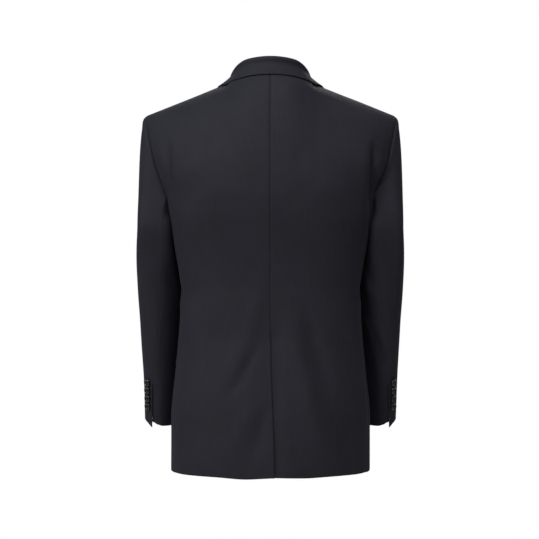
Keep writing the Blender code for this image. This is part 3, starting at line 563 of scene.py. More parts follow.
@dataclass
class Draft:
    """A cut piece on its form: its outer face as rows of points, and how its edges are finished."""

    grid: Grid
    place: tuple[Grid, Grid] | None = None  # where creases find each point, across and up
    inward: Grid | None = None
    present: Grid | None = None
    faced: Grid | None = None  # cells whose inner face is wool, not lining
    seams: dict[Edge, Grid | float] = field(default_factory=dict)  # pressed edges, and how strongly
    thick: float = CLOTH

    def __post_init__(self) -> None:
        """Lays the piece out by its X where nothing else is asked."""
        if self.place is None:
            self.lay_by(0)

    def lay_by(self, axis: int) -> None:
        """Lets creases find each point by one axis and its height."""
        self.place = (self.grid[..., axis], self.grid[..., 2])

    def worn(self, side: Side) -> "Draft":
        """The left piece, or the same one for the wearer's right side, still facing outwards."""
        if side is Side.LEFT:
            return self

        def flipped(cells: Grid | float | None) -> Grid | float | None:
            return cells[:, ::-1] if isinstance(cells, np.ndarray) else cells

        turn = np.array([-1.0, 1.0, 1.0])
        swap = {Edge.FIRST: Edge.LAST, Edge.LAST: Edge.FIRST}
        return Draft(
            grid=(self.grid * turn)[:, ::-1],
            place=(-self.place[0][:, ::-1], self.place[1][:, ::-1]),
            inward=None if self.inward is None else (self.inward * turn)[:, ::-1],
            present=flipped(self.present),
            faced=flipped(self.faced),
            seams={swap.get(edge, edge): flipped(amount) for edge, amount in self.seams.items()},
            thick=self.thick,
        )

    def level_top(self) -> None:
        """Turns the last row's thickness straight down into the shoulder."""
        if self.inward is None:
            self.inward = -normals_of(self.grid)
        self.inward[-1, :, 1] = 0
        self.inward[-1] = unit(self.inward[-1])


@dataclass(frozen=True)
class Cut:
    """A piece as it was cut from flat cloth, in millimetres and square metres, and how it is held.

    What it rests on is named for the left half of the suit.
    """

    width: float
    length: float
    area: float
    held: str = "hung"
    rests_on: tuple[str, ...] = ()


@dataclass
class Tailoring:
    """Turns drafts into finished shells and keeps their outer faces for the stitching."""

    materials: list[Material]
    seam_depth: float = 0.75
    seam_width: float = 1.7
    seam_puff: float = 0.22
    puff_away: float = 6.5
    puff_width: float = 3.5
    seam_hold: float = 11.0
    seam_reach: float = 0.8
    faces: dict[str, Grid] = field(default_factory=dict)

    def lift(self, draft: Draft, creases: Sequence[Crease | Ripple]) -> Grid:
        """How far the creases lift the cloth, which its seams hold down and sink a little."""
        across, up = travelled(draft.grid, 1), travelled(draft.grid, 0)
        away = {Edge.FIRST: across, Edge.LAST: across[:, -1:] - across, Edge.TOP: up[-1:] - up}
        total = sum(crease.lift(*draft.place) for crease in creases) + np.zeros(draft.grid.shape[:2])
        for edge, amount in draft.seams.items():
            total *= 1 - amount * (1 - smoothstep(away[edge] / self.seam_hold))
        for edge, amount in draft.seams.items():
            sunk = -self.seam_depth * bell(away[edge], self.seam_width)
            total += amount * (sunk + self.seam_puff * bell(away[edge] - self.puff_away, self.puff_width))
        return total

    def close(self, face: Grid, edge: Edge, amount: Grid | float) -> None:
        """Lets a side edge reach its neighbour's inside the seam."""
        rim, near = (0, 1) if edge is Edge.FIRST else (-1, -2)
        reach = self.seam_reach * np.reshape(amount, (-1, 1))
        face[:, rim] += reach * unit(face[:, rim] - face[:, near])

    def make(
        self,
        part: str,
        draft: Draft,
        cut: Cut,
        creases: Sequence[Crease | Ripple] = (),
        cloth: str = "wool",
        packed: bool = True,
    ) -> Object:
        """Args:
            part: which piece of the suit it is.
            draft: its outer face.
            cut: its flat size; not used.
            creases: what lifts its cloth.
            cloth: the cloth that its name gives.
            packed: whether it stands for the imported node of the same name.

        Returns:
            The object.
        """
        outward = normals_of(draft.grid)
        face = draft.grid + outward * self.lift(draft, creases)[..., None]
        for edge, amount in draft.seams.items():
            if edge in (Edge.FIRST, Edge.LAST):
                self.close(face, edge, amount)
        inward = -outward if draft.inward is None else draft.inward
        piece = shell(f"{cloth}_{part}", draft, face, inward, self.materials)
        self.faces[part] = face
        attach(piece, "root")
        if packed:
            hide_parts(part)
        log.info("%s: %d faces", piece.name, len(piece.data.polygons))
        return piece


def add_object(name: str, data: bpy.types.ID) -> Object:
    """A new object in the scene."""
    item = bpy.data.objects.new(name, data)
    bpy.context.scene.collection.objects.link(item)
    return item


def shell(name: str, draft: Draft, face: Grid, inward: Grid, materials: list[Material]) -> Object:
    """A closed wall of cloth with turned, rounded edges.

    Args:
        name: the object's name.
        draft: the piece, for its cells, its thickness and its seams.
        face: its outer points.
        inward: the unit direction into the cloth at each point.
        materials: the wool and the lining.

    Returns:
        The new object, with a UV map "cloth" that runs along the cloth in metres.
    """
    rows, columns = face.shape[:2]
    present = cells_of(face) if draft.present is None else draft.present
    faced = np.zeros_like(present) if draft.faced is None else draft.faced
    around = np.pad(present, 1).astype(float)
    corners = around[:-1, :-1] + around[1:, :-1] + around[:-1, 1:] + around[1:, 1:]
    middle = (face[:-1, :-1] + face[1:, :-1] + face[:-1, 1:] + face[1:, 1:]) / 4 * present[..., None]
    middle = np.pad(middle, ((1, 1), (1, 1), (0, 0)))
    total = middle[:-1, :-1] + middle[1:, :-1] + middle[:-1, 1:] + middle[1:, 1:]
    rim = (corners > 0) & (corners < 4)
    beyond = face - total / np.maximum(corners, 1)[..., None]
    beyond -= inward * (beyond * inward).sum(axis=2, keepdims=True)
    beyond /= np.maximum(np.linalg.norm(beyond, axis=2, keepdims=True), 1e-6)
    pressed = np.zeros((rows, columns))
    slices = {Edge.FIRST: np.s_[:, 0], Edge.LAST: np.s_[:, -1], Edge.TOP: np.s_[-1]}
    for edge, amount in draft.seams.items():
        flat = np.broadcast_to(np.asarray(amount, dtype=float), (rows, columns))
        pressed[slices[edge]] = np.maximum(pressed[slices[edge]], flat[slices[edge]])
    bulge = draft.thick * (EDGE_BULGE - EDGE_PRESSED * pressed)
    tuck = (draft.thick * EDGE_TUCK * rim)[..., None]
    outer = face + inward * tuck
    ring = face + inward * draft.thick / 2 + beyond * bulge[..., None]
    inner = face + inward * draft.thick - inward * tuck
    count = rows * columns
    corner = np.arange(count).reshape(rows, columns)
    cells = np.stack([corner[:-1, :-1], corner[:-1, 1:], corner[1:, 1:], corner[1:, :-1]], axis=-1)
    beside = [around[:-2, 1:-1], around[1:-1, 2:], around[2:, 1:-1], around[1:-1, :-2]]
    quads, slots = [cells[present]], [np.zeros(int(present.sum()), dtype=int)]
    quads.append(2 * count + cells[present][:, ::-1])
    slots.append(np.where(faced[present], 0, 1))
    for number, neighbour in enumerate(beside):
        open_cells = cells[present & (neighbour == 0)]
        start, end = open_cells[:, number], open_cells[:, (number + 1) % 4]
        for low, high in ((0, count), (count, 2 * count)):
            quads.append(np.stack([end + low, start + low, start + high, end + high], axis=1))
            slots.append(np.zeros(len(start), dtype=int))
    quads, slots = np.concatenate(quads), np.concatenate(slots)
    points = np.concatenate([outer.reshape(-1, 3), ring.reshape(-1, 3), inner.reshape(-1, 3)])
    used, faces = np.unique(quads, return_inverse=True)
    faces = faces.reshape(-1, 4)
    base = draft.grid
    along = np.stack([base[:, :1, 0] + travelled(base, 1), base[:1, :, 2] + travelled(base, 0)], axis=-1)
    along = along.reshape(-1, 2)
    along = np.concatenate([along, along + draft.thick / 2, along])
    mesh = bpy.data.meshes.new(name)
    mesh.from_pydata((points[used] * MM).tolist(), [], faces.tolist())
    for material in materials:
        mesh.materials.append(material)
    mesh.polygons.foreach_set("material_index", slots.astype(np.int32))
    layer = mesh.uv_layers.new(name="cloth")
    layer.uv.foreach_set("vector", (along[used][faces.ravel()] * MM).astype(np.float32).ravel())
    # the rim cells and a fainter ring beside them, kept as "edge", where the wool is painted lighter: partly
    # rubbed wear, partly a painted highlight
    worn = np.pad(rim.astype(float), 1, mode="edge")
    worn = np.maximum(rim, 0.45 * (worn[:-2, 1:-1] + worn[2:, 1:-1] + worn[1:-1, :-2] + worn[1:-1, 2:] > 0))
    layer = mesh.attributes.new("edge", "FLOAT", "POINT")
    layer.data.foreach_set("value", np.concatenate([worn.ravel(), 0 * worn.ravel() + 1, worn.ravel()])[used])
    mesh.shade_smooth()
    mesh.update()
    return add_object(name, mesh)


# The jacket's body


def upper_rows(top_z: Grid, step: float) -> Grid:
    """Heights of the rows over the armpit up to each column's top, closer together towards it."""
    count = round(float(np.max(top_z) - ARMPIT_Z) * 1.25 / step)
    climb = np.sin(np.linspace(0, 1, count + 1)[1:] * math.pi / 2)[:, None]
    return ARMPIT_Z + (top_z - ARMPIT_Z) * climb


class HemWave(NamedTuple):
    """A place where the back's hem hangs a little lower."""

    x: float
    width: float
    drop: float


@dataclass
class JacketBack:
    """The two back panels: a centre seam, and under it the vent, where the left one hangs over the right."""

    step: float = 4.2
    vent_underlap: float = 40.0
    vent_drift: float = 6.5
    vent_kick: float = 0.9  # how far the vent's edge stands off
    kick_width: float = 14.0
    tuck_rise: float = 40.0
    tuck_run: float = 35.0
    tuck_share: float = 0.175
    tuck_fade: float = 0.125
    hem_waves: tuple[HemWave, ...] = (HemWave(52, 34, 2.6), HemWave(-66, 30, 1.2))
    creases: tuple[Crease, ...] = (
        Crease(((16, -300), (34, -432), (97, -560)), 2.8, 15, 1.2),
        Crease(((20, -452), (44, -510), (84, -572)), -3.0, 9, 1.3),
        Crease(((99, -418), (97, -470), (92, -538)), -2.1, 17),
        Crease(((2, -545), (17, -612), (40, -692)), -3.2, 11, 1.5),
        Crease(((30, -560), (50, -610), (84, -684)), 2.0, 13, 1.4),
        Crease(((-56, -378), (-82, -480), (-120, -600)), -4.4, 12, 1.5),
        Crease(((-20, -390), (-56, -520), (-98, -676)), 4.8, 15, 1.2),
        Crease(((-126, -520), (-134, -620), (-140, -730)), -4.4, 24, 1.2),
        Crease(((-24, -740), (-104, -732), (-184, -740)), -13, 52),
        Crease(((24, -742), (104, -735), (184, -742)), -10, 44),
        Crease(((180, -194), (146, -164), (100, -136)), 1.3, 14, 1.6),
        Crease(((172, -236), (136, -196), (100, -156)), -1.2, 15, 1.5),
        Crease(((-22, -236), (-62, -198), (-108, -158)), -0.8, 14, 1.3),
        Crease(((-50, -108), (-53, -140), (-56, -176)), -0.9, 10),
        Crease(((190, -108), (187, -160), (181, -216)), 2.5, 5, 1.1),
        Crease(((181, -102), (179, -156), (174, -222)), -9.5, 5, 1.1),
        Crease(((-168, -104), (-166, -180), (-158, -272)), 3.4, 13, 1.2),
        Crease(((-184, -94), (-180, -166), (-176, -256)), -11.0, 6, 1.1),
        Crease(((-202, -112), (-194, -158), (-186, -210)), 3.0, 6, 1.1),
        Crease(((-166, -98), (-182, -114), (-198, -132)), 2.0, 5, 1.2),
        Crease(((-172, -344), (-160, -360), (-140, -378)), 1.5, 6, 1.4),
        Crease(((-168, -366), (-154, -384), (-130, -404)), -1.2, 6, 1.5),
        Crease(((168, -352), (150, -372), (124, -388)), -0.9, 8, 1.4),
        Crease(((150, -560), (146, -620), (150, -690)), -1.5, 15, 1.2),
    )
    left_cut: Cut = Cut(273, 760, 0.1531)
    right_cut: Cut = Cut(272, 760, 0.1615)

    def hem(self, x: Grid) -> Grid:
        """The hem's height at a place across it."""
        return HEM_Z - sum(wave.drop * bell(x - wave.x, wave.width) for wave in self.hem_waves)

    def draft(self, side: Side) -> Draft:
        """One panel's outer face, columns from the side seam to the centre on the left."""
        width = float(JACKET.back_edge(VENT_TOP_Z))
        start, end = SEAM_GAP / 2 / width, 1 - SEAM_GAP / SHOULDER_X
        shares = start + (end - start) * eased(width, self.step)
        top_y, top_z = JACKET.back_top(shares * SHOULDER_X)
        bottom = self.hem(side.value * shares * float(JACKET.back_edge(HEM_Z)))
        vent = eased(VENT_TOP_Z - HEM_Z, self.step, end=False)[:-1, None]
        body = np.arange(VENT_TOP_Z, ARMPIT_Z + 1, (ARMPIT_Z - VENT_TOP_Z) / 60)[:, None] + 0 * bottom
        z = np.concatenate([bottom + (VENT_TOP_Z - bottom) * vent, body, upper_rows(top_z, self.step)])
        x = shares * JACKET.back_edge(z)
        y = JACKET.back(x, z)
        y[-1] = top_y
        fall = smoothstep((VENT_TOP_Z - z) / (VENT_TOP_Z - HEM_Z))
        drift = self.vent_drift * fall * (1 - shares)
        if side is Side.LEFT:
            x = x - drift
            y = y + self.vent_kick * fall * bell(shares * width, self.kick_width)
        else:
            tucked = smoothstep((VENT_TOP_Z + self.tuck_rise - z) / self.tuck_run)
            tucked = tucked * smoothstep((self.tuck_share - shares) / self.tuck_fade)
            y = y - (CLOTH + 2 * SEAM_GAP) * tucked
        grid = xyz(x, y, z)[:, ::-1]
        above = smoothstep((grid[:, -1:, 2] - VENT_TOP_Z) / 6)
        draft = Draft(grid, seams={Edge.FIRST: 1.0, Edge.LAST: above, Edge.TOP: 1.0})
        if side is Side.RIGHT:
            self.add_underlap(draft)
        draft = draft.worn(side)
        draft.level_top()
        return draft

    def add_underlap(self, draft: Draft) -> None:
        """Gives the right panel the vent's underlap, past the centre line, before it is mirrored."""
        heights = draft.grid[:, -1, 2]
        shares = eased(self.vent_underlap, self.step, start=False)[1:]
        x = -shares[None, :] * self.vent_underlap + 0 * heights[:, None]
        z = heights[:, None]
        y = JACKET.back(x, z) - (CLOTH + 2 * SEAM_GAP)
        own = draft.grid.shape[1]
        draft.grid = np.concatenate([draft.grid, xyz(x, y, z)], axis=1)
        draft.lay_by(0)
        draft.present = cells_of(draft.grid)
        draft.present[heights[1:] > VENT_TOP_Z + 1, own - 1 :] = False
        del draft.seams[Edge.LAST]

    def build(self, tailoring: Tailoring) -> None:
        """Makes both panels."""
        for side in Side:
            cut = side.pick(self.left_cut, self.right_cut)
            tailoring.make(side.of("back"), self.draft(side), cut, (*self.creases, Ripple(11, 0.5)))


@dataclass
class JacketSide:
    """The panel under each arm, from the back panel round to the front, hollowed for the armhole."""

    step: float = 4.6
    margin: float = 0.2 * SEAM_GAP
    hug: float = 2.2  # how far it swells towards the sleeve
    creases: tuple[Crease, ...] = (
        Crease(((60, -470), (50, -560), (52, -690)), 1.6, 16, 1.4),
        Crease(((10, -440), (2, -560), (-2, -690)), -1.6, 15, 1.4),
        Crease(((40, -352), (4, -372), (-36, -384)), -1.3, 9, 1.3),
        Crease(((48, -380), (10, -398), (-30, -404)), 1.1, 9, 1.3),
        Crease(((44, -250), (10, -290), (-24, -330)), -1.2, 11, 1.2),
    )
    cut: Cut = Cut(146, 492, 0.0524)

    def draft(self) -> Draft:
        """The left panel's outer face, columns from the front seam to the back one."""
        share = eased(150, self.step)[None, :]
        climb = eased(ARMPIT_Z - HEM_Z, self.step)[:, None]
        z = HEM_Z + (armhole_foot(share) - HEM_Z) * climb
        margin = math.degrees(self.margin / SHOULDER_X)
        x, y = JACKET.beside(share, z, margin)
        near = band(z, ARMPIT_Z - 24, 30, ELBOW_Z, 70)
        x = x + self.hug * near * np.sin(math.pi * share) ** 2
        seams = {Edge.FIRST: 1.0, Edge.LAST: 1.0, Edge.TOP: 0.2}
        return Draft(xyz(x, y, z)[:, ::-1], seams=seams)

    def build(self, tailoring: Tailoring) -> None:
        """Makes both panels; only their ripples differ."""
        for side in Side:
            draft = self.draft().worn(side)
            draft.lay_by(1)
            parts = (*self.creases, Ripple(side.pick(23, 29)))
            tailoring.make(side.of("side"), draft, self.cut, parts)


@dataclass
class JacketFront:
    """The fronts: the roll line, the buttoned edge, the round quarter at the hem, and a waist dart."""

    step: float = 4.4
    tuck: float = 5.8
    tuck_reach: float = 40.0
    tuck_fade: float = 36.0
    tuck_rise: float = 150.0
    tuck_run: float = 90.0
    cutaway_z: float = -505.0
    cutaway_x: float = 74.0
    facing_width: float = 88.0
    dart_share: float = 0.58  # where the dart's column lies over and under the dart
    dart_x: float = 86.0
    dart_top_z: float = -262.0
    dart_foot_z: float = -464.0
    dart_run: float = 60.0
    creases: tuple[Crease, ...] = (
        Crease(((16, -396), (58, -362), (112, -300)), 1.5, 13, 1.7),
        Crease(((18, -400), (66, -398), (128, -380)), 1.2, 11, 1.6),
        Crease(((14, -404), (54, -432), (104, -456)), -1.4, 11, 1.6),
        Crease(((22, -380), (50, -346), (84, -290)), -1.3, 11, 1.6),
        Crease(((152, -150), (146, -212), (136, -286)), -2.4, 11, 1.4),
        Crease(((128, -160), (122, -220), (110, -290)), 1.6, 14, 1.3),
        Crease(((40, -520), (64, -590), (92, -684)), -1.4, 14, 1.5),
        Crease(((110, -530), (124, -600), (132, -690)), 1.7, 17, 1.4),
        Crease(((150, -90), (120, -112), (96, -150)), -1.0, 13, 1.3),
    )
    right_creases: tuple[Crease, ...] = (
        Crease(((-60, -352), (-96, -322), (-138, -262)), 1.4, 14, 1.5),
        Crease(((-34, -410), (-78, -404), (-136, -392)), 1.3, 12, 1.5),
        Crease(((-30, -424), (-66, -444), (-112, -462)), -1.3, 11, 1.5),
        Crease(((-150, -140), (-148, -206), (-134, -296)), -2.2, 12, 1.4),
        Crease(((-124, -170), (-120, -236), (-106, -300)), 1.5, 14, 1.3),
        Crease(((-56, -530), (-74, -604), (-96, -688)), -1.5, 15, 1.4),
        Crease(((-118, -536), (-128, -604), (-140, -690)), 1.5, 16, 1.4),
    )
    cut: Cut = Cut(195, 797, 0.1207)

    def edge_x(self, z: Grid) -> Grid:
        """The left front's free edge: the roll line, then straight down, then the round quarter."""
        turn = np.clip((self.cutaway_z - z) / (self.cutaway_z - HEM_Z), 0, 1)
        quarter_x = (self.cutaway_x + OVERLAP) * (1 - np.sqrt(1 - turn**2))
        return np.where(z > BREAK_Z, ROLL_X(z), -OVERLAP + quarter_x)

    def tuck_depth(self, x: Grid, z: Grid) -> Grid:
        """How far the right front and its lapel lie under the left front, where the two cross."""
        across = smoothstep((OVERLAP + self.tuck_reach - x) / self.tuck_fade)
        return self.tuck * across * smoothstep((BREAK_Z + self.tuck_rise - z) / self.tuck_run)

    def draft(self, side: Side) -> Draft:
        """One front's outer face, columns from the free edge to the side on the left."""
        quarter_turn = np.sin(np.linspace(1, 0, 46) * math.pi / 2)
        quarter_z = self.cutaway_z + (HEM_Z - self.cutaway_z) * quarter_turn
        rows = np.concatenate([quarter_z, np.linspace(self.cutaway_z, ARMPIT_Z, 71)[1:]])[:, None]
        before, after = eased(100, self.step), eased(72, self.step)
        near_share, far_share = self.dart_share, 1 - self.dart_share
        share = np.concatenate([before * near_share, near_share + after[1:] * far_share])[None, :]
        top_z = JACKET.ridge_z(NECK_X + (SHOULDER_X - NECK_X) * share)
        z = np.concatenate([rows + 0 * share, upper_rows(top_z, self.step)])
        edge_x, side_x = self.edge_x(z), JACKET.front_edge(z) - SEAM_GAP
        between = side_x - edge_x
        plain = edge_x + near_share * between
        dart = np.clip(self.dart_x, edge_x + 0.4 * between, edge_x + 0.7 * between)
        dart = np.where(z > self.dart_top_z, plain, dart)
        near = self.eased_dart(z)
        dart = dart * near + plain * (1 - near)
        first = edge_x + (dart - edge_x) * np.clip(share / near_share, 0, 1)
        x = np.where(share <= near_share, first, dart + (side_x - dart) * (share - near_share) / far_share)
        z = np.minimum(z, np.where(x > NECK_X, JACKET.ridge_z(x), 0.0))
        y = JACKET.front(x, z)
        y[-1] = RIDGE_Y - 2 * SEAM_GAP
        self.dart_column = len(before) - 1
        if side is Side.RIGHT:
            y = y + self.tuck_depth(x, z)
        faced = x[:-1, :-1] < edge_x[:-1, :-1] + self.facing_width
        draft = Draft(xyz(x, y, z), seams={Edge.LAST: 1.0, Edge.TOP: 1.0}, faced=faced)
        draft = draft.worn(side)
        draft.level_top()
        return draft

    def eased_dart(self, z: Grid) -> Grid:
        """1 where the grid follows the dart, fading to 0 over and under it."""
        run = self.dart_run
        return band(z, self.dart_top_z + run, run, self.dart_foot_z - run, run)

    def build(self, tailoring: Tailoring) -> None:
        """Makes both fronts, with the dart pressed in as a fine seam."""
        for side in Side:
            draft = self.draft(side)
            column = side.pick(self.dart_column, draft.grid.shape[1] - 1 - self.dart_column)
            dart = DartSeam(draft.grid, column, self.dart_foot_z, self.dart_top_z)
            creases = side.pick(self.creases, self.right_creases)
            parts = (*creases, Ripple(side.pick(37, 41)), dart)
            tailoring.make(side.of("front"), draft, self.cut, parts)


@dataclass
class DartSeam:
    """The fine groove of a dart along one column of a grid."""

    grid: Grid
    column: int
    foot_z: float
    top_z: float
    depth: float = 0.75
    width: float = 1.5
    puff: float = 0.3
    puff_away: float = 5.5
    puff_width: float = 3.2
    fade: float = 24.0

    def lift(self, across: Grid, up: Grid) -> Grid:
        """How far the dart sinks at each place, with the cloth swelling a little beside it."""
        length = travelled(self.grid, 1)
        away = length - length[:, self.column : self.column + 1]
        ends = band(up, self.top_z, self.fade, self.foot_z, self.fade)
        swell = self.puff * bell(np.abs(away) - self.puff_away, self.puff_width)
        return ends * (swell - self.depth * bell(away, self.width)) + 0 * across


@dataclass
class Lapels:
    """The notch lapels: each is the front's facing, turned back at the roll line."""

    front: JacketFront
    step: float = 3.8
    gorge_z: float = -66.0
    tip_x: float = 136.0
    tip_z: float = -104.0
    lead: float = 4.0
    start: float = 0.03
    belly: float = 0.86
    gap: float = 3 * SEAM_GAP
    bulge: float = 4.5
    bulge_share: float = 0.8
    bulge_start: float = 58.0
    bulge_run: float = 70.0
    roll: float = 2.5
    roll_steps: int = 7
    roll_turn: float = 0.92  # how much of a half turn the roll makes
    roll_thin: float = 0.55  # the cloth's share of its thickness inside the roll
    cut: Cut = Cut(93, 324, 0.0173, held="folded", rests_on=("front_left",))
    creases: tuple[Crease, ...] = (
        Crease(((30, -300), (52, -228), (86, -140)), 0.9, 16, 1.3),
        Crease(((60, -240), (84, -190), (112, -124)), -0.7, 13, 1.2),
    )

    def lift(self, share: Grid, z: Grid) -> Grid:
        """How far a lapel's outer face stands off its front."""
        across = np.sin(math.pi * np.clip(share / self.bulge_share, 0, 1))
        rise = smoothstep((z - BREAK_Z - self.bulge_start) / self.bulge_run)
        return CLOTH + self.gap + self.bulge * across * rise

    def draft(self, side: Side) -> Draft:
        """One lapel's outer face, from the roll outwards; the first columns turn the roll under."""
        climb = self.start + (1 - self.start) * eased(320, self.step)[:, None]
        share = eased(80, self.step)[None, :]
        roll_z = BREAK_Z + (self.gorge_z - BREAK_Z) * climb
        roll_x = ROLL_X(roll_z) - self.lead
        outer_z = BREAK_Z + (self.tip_z - BREAK_Z) * climb
        outer_x = ROLL_X(BREAK_Z) + (self.tip_x - ROLL_X(BREAK_Z)) * climb**self.belly
        x = roll_x + (outer_x - roll_x) * share
        z = roll_z + (outer_z - roll_z) * share
        y = JACKET.front(x, z) - self.lift(share, z)
        if side is Side.RIGHT:
            y = y + self.front.tuck_depth(x, z)
        grid = xyz(x, y, z)
        normal = normals_of(grid)
        out = unit(grid[:, 0] - grid[:, 2])
        turned = []
        for number in range(self.roll_steps, 0, -1):
            angle = math.pi * self.roll_turn * number / self.roll_steps
            under = normal[:, 0] * (math.cos(angle) - 1) + out * math.sin(angle)
            turned.append(grid[:, 0] + self.roll * under)
        grid = np.concatenate([np.stack(turned, axis=1), grid], axis=1)
        inward = -normals_of(grid)
        inward[:, : self.roll_steps] *= self.roll_thin
        draft = Draft(grid, inward=inward, faced=cells_of(grid), thick=CLOTH * 0.9, seams={Edge.TOP: 0.3})
        return draft.worn(side)

    def build(self, tailoring: Tailoring) -> None:
        """Makes both lapels."""
        for side in Side:
            draft = self.draft(side)
            draft.place = (np.abs(draft.grid[..., 0]), draft.grid[..., 2])
            parts = (*self.creases, Ripple(side.pick(53, 59), 0.3))
            tailoring.make(side.of("lapel"), draft, self.cut, parts)


class CollarTurn(NamedTuple):
    """A rib of the collar's fold, in units of its roundness."""

    out: float
    up: float


class FallRib(NamedTuple):
    """A rib of the collar's fall, and how far it bulges."""

    share: float
    bulge: float


@dataclass
class Collar:
    """The collar in one sheet: up its stand from the neck seam, over the fold and down the fall."""

    lapels: Lapels
    step: float = 2.9
    side_neck_share: float = 0.5
    gorge_shares: tuple[float, ...] = (0.0, 0.05, 0.12, 0.24, 0.38, 0.52)
    stand_inset: float = 2.4 * CLOTH
    inset_start: float = 0.4
    inset_run: float = 0.12
    stand_rise: float = -1.6
    fold_clear: float = 4 * CLOTH
    edge_clear: float = CLOTH + 1.5
    fall_clear: float = CLOTH + 1.5
    roll_share: float = 0.16
    roll_least: float = 1.2
    roll_most: float = 4.0
    fold_turns: tuple[CollarTurn, ...] = (CollarTurn(0.0, -0.5), CollarTurn(0.6, 0.25), CollarTurn(1.6, -0.4))
    fall_ribs: tuple[FallRib, ...] = (FallRib(0.35, 2.0), FallRib(0.7, 1.5))
    fall_hollow: float = 2.5
    hollow_end: float = 0.9
    stand_share: float = 0.6
    stand_lean: float = 0.8
    blend_share: float = 0.88  # past this share the ribs turn into the gorge seam
    eases: int = 9  # how often neighbouring ribs are evened out
    cut: Cut = Cut(524, 82, 0.0281, held="folded", rests_on=("back_left", "back_right"))
    creases: tuple[Crease, ...] = (
        Crease(((-96, 50), (-88, 40), (-78, 26)), -0.6, 6, 1.3),
        Crease(((64, 62), (58, 50), (48, 36)), -0.5, 6, 1.4),
    )

    def neck_seam(self, share: Grid) -> Grid:
        """The line that the collar is sewn to: round the back neck, then down the roll line."""
        turn = np.clip(share / self.side_neck_share, 0, 1) * math.pi / 2
        down = np.clip((share - self.side_neck_share) / (1 - self.side_neck_share), 0, 1)
        front_z = self.lapels.gorge_z * down
        behind = share < self.side_neck_share
        inset = self.stand_inset * smoothstep((share - self.inset_start) / self.inset_run)
        x = np.where(behind, NECK_X * np.sin(turn), ROLL_X(front_z)) - inset
        y = np.where(behind, RIDGE_Y + JACKET.neck_depth * np.cos(turn), JACKET.front(x, front_z))
        return xyz(x, y, np.where(behind, JACKET.neck_rise * np.cos(turn), front_z))

    def ribs(self, share: Grid) -> Grid:
        """The eight ribs that shape the left half, from the neck seam to the outer edge.

        Args:
            share: places along the half, from the centre back to the gorge.

        Returns:
            The ribs' points, ribs by places.
        """
        curve = {
            column: Profile(COLLAR, column, "share", level=not column.endswith("_x"))(share)
            for column in CollarRib._fields[1:]
        }
        base = self.neck_seam(share) + np.array([0, 0, self.stand_rise])
        fold = xyz(curve["fold_x"], curve["fold_y"], curve["fold_z"])
        clear_z = JACKET.crown(fold[:, 0], fold[:, 1]) + self.fold_clear
        eased_in = smoothstep((share - self.side_neck_share + 0.08) / 0.08)
        fold[:, 2] += eased_in * np.maximum(clear_z - fold[:, 2], 0)
        edge_z = JACKET.crown(curve["edge_x"], curve["edge_y"]) + self.edge_clear
        edge = xyz(curve["edge_x"], curve["edge_y"], edge_z)
        height = np.linalg.norm(fold - base, axis=1, keepdims=True)
        roll = np.clip(height * self.roll_share, self.roll_least, self.roll_most)
        outwards = unit((edge - fold) * np.array([1.0, 1.0, 0]))
        up = np.array([0, 0, 1.0])
        ribs = [base, base + (fold - base) * self.stand_share - outwards * self.stand_lean]
        ribs += [fold + outwards * roll * turn.out + up * roll * turn.up for turn in self.fold_turns]
        hollow = self.fall_hollow * np.sin(math.pi * np.clip(share / self.hollow_end, 0, 1))[:, None]
        for fall in self.fall_ribs:
            rib = fold + (edge - fold) * fall.share + outwards * (fall.bulge - hollow)
            rib[:, 2] = np.maximum(rib[:, 2], JACKET.crown(rib[:, 0], rib[:, 1]) + self.fall_clear)
            ribs.append(rib)
        return np.stack([*ribs, edge], axis=0)

    def gorge(self) -> Grid:
        """Where the ribs from the fold outwards meet the lapel's top edge."""
        shares = np.array(self.gorge_shares)
        start_x = float(ROLL_X(self.lapels.gorge_z)) - self.lapels.lead
        x = start_x + (self.lapels.tip_x - start_x) * shares
        z = self.lapels.gorge_z + (self.lapels.tip_z - self.lapels.gorge_z) * shares + 2 * SEAM_GAP
        return xyz(x, JACKET.front(x, z) - self.lapels.lift(shares, z), z)

    def draft(self) -> Draft:
        """The whole outer face: rows from the neck seam to the edge, columns from the right."""
        share = eased(190, self.step, start=False)
        ribs = self.ribs(share)
        blend = smoothstep((share - self.blend_share) / (1 - self.blend_share))[None, :, None]
        ribs[2:] = ribs[2:] * (1 - blend) + self.gorge()[:, None] * blend
        along = np.array([0, 0.26, 0.42, 0.47, 0.53, 0.68, 0.86, 1.0])
        wanted = eased(78, self.step)
        half = drawn(along, ribs, np.gradient(ribs, along, axis=0), wanted)
        other = (half * np.array([-1.0, 1.0, 1.0]))[:, ::-1]
        grid = np.concatenate([other, half[:, 1:]], axis=1)
        for _ in range(self.eases):
            grid[1:, 1:-1] = (grid[1:, :-2] + 2 * grid[1:, 1:-1] + grid[1:, 2:]) / 4
        return Draft(grid, faced=cells_of(grid), thick=CLOTH * 0.95)

    def build(self, tailoring: Tailoring) -> None:
        """Makes the collar."""
        tailoring.make("collar", self.draft(), self.cut, (*self.creases, Ripple(61, 0.2)))


# Sleeves


class SleevePiece(Enum):
    """The two pieces of a tailored sleeve."""

    TOP = "top_sleeve"
    UNDER = "under_sleeve"


class VentEdge(NamedTuple):
    """How far a sleeve piece laps at the cuff's vent, and how far its corner there moves up."""

    lap: float
    lap_width: float
    corner: float
    corner_width: float


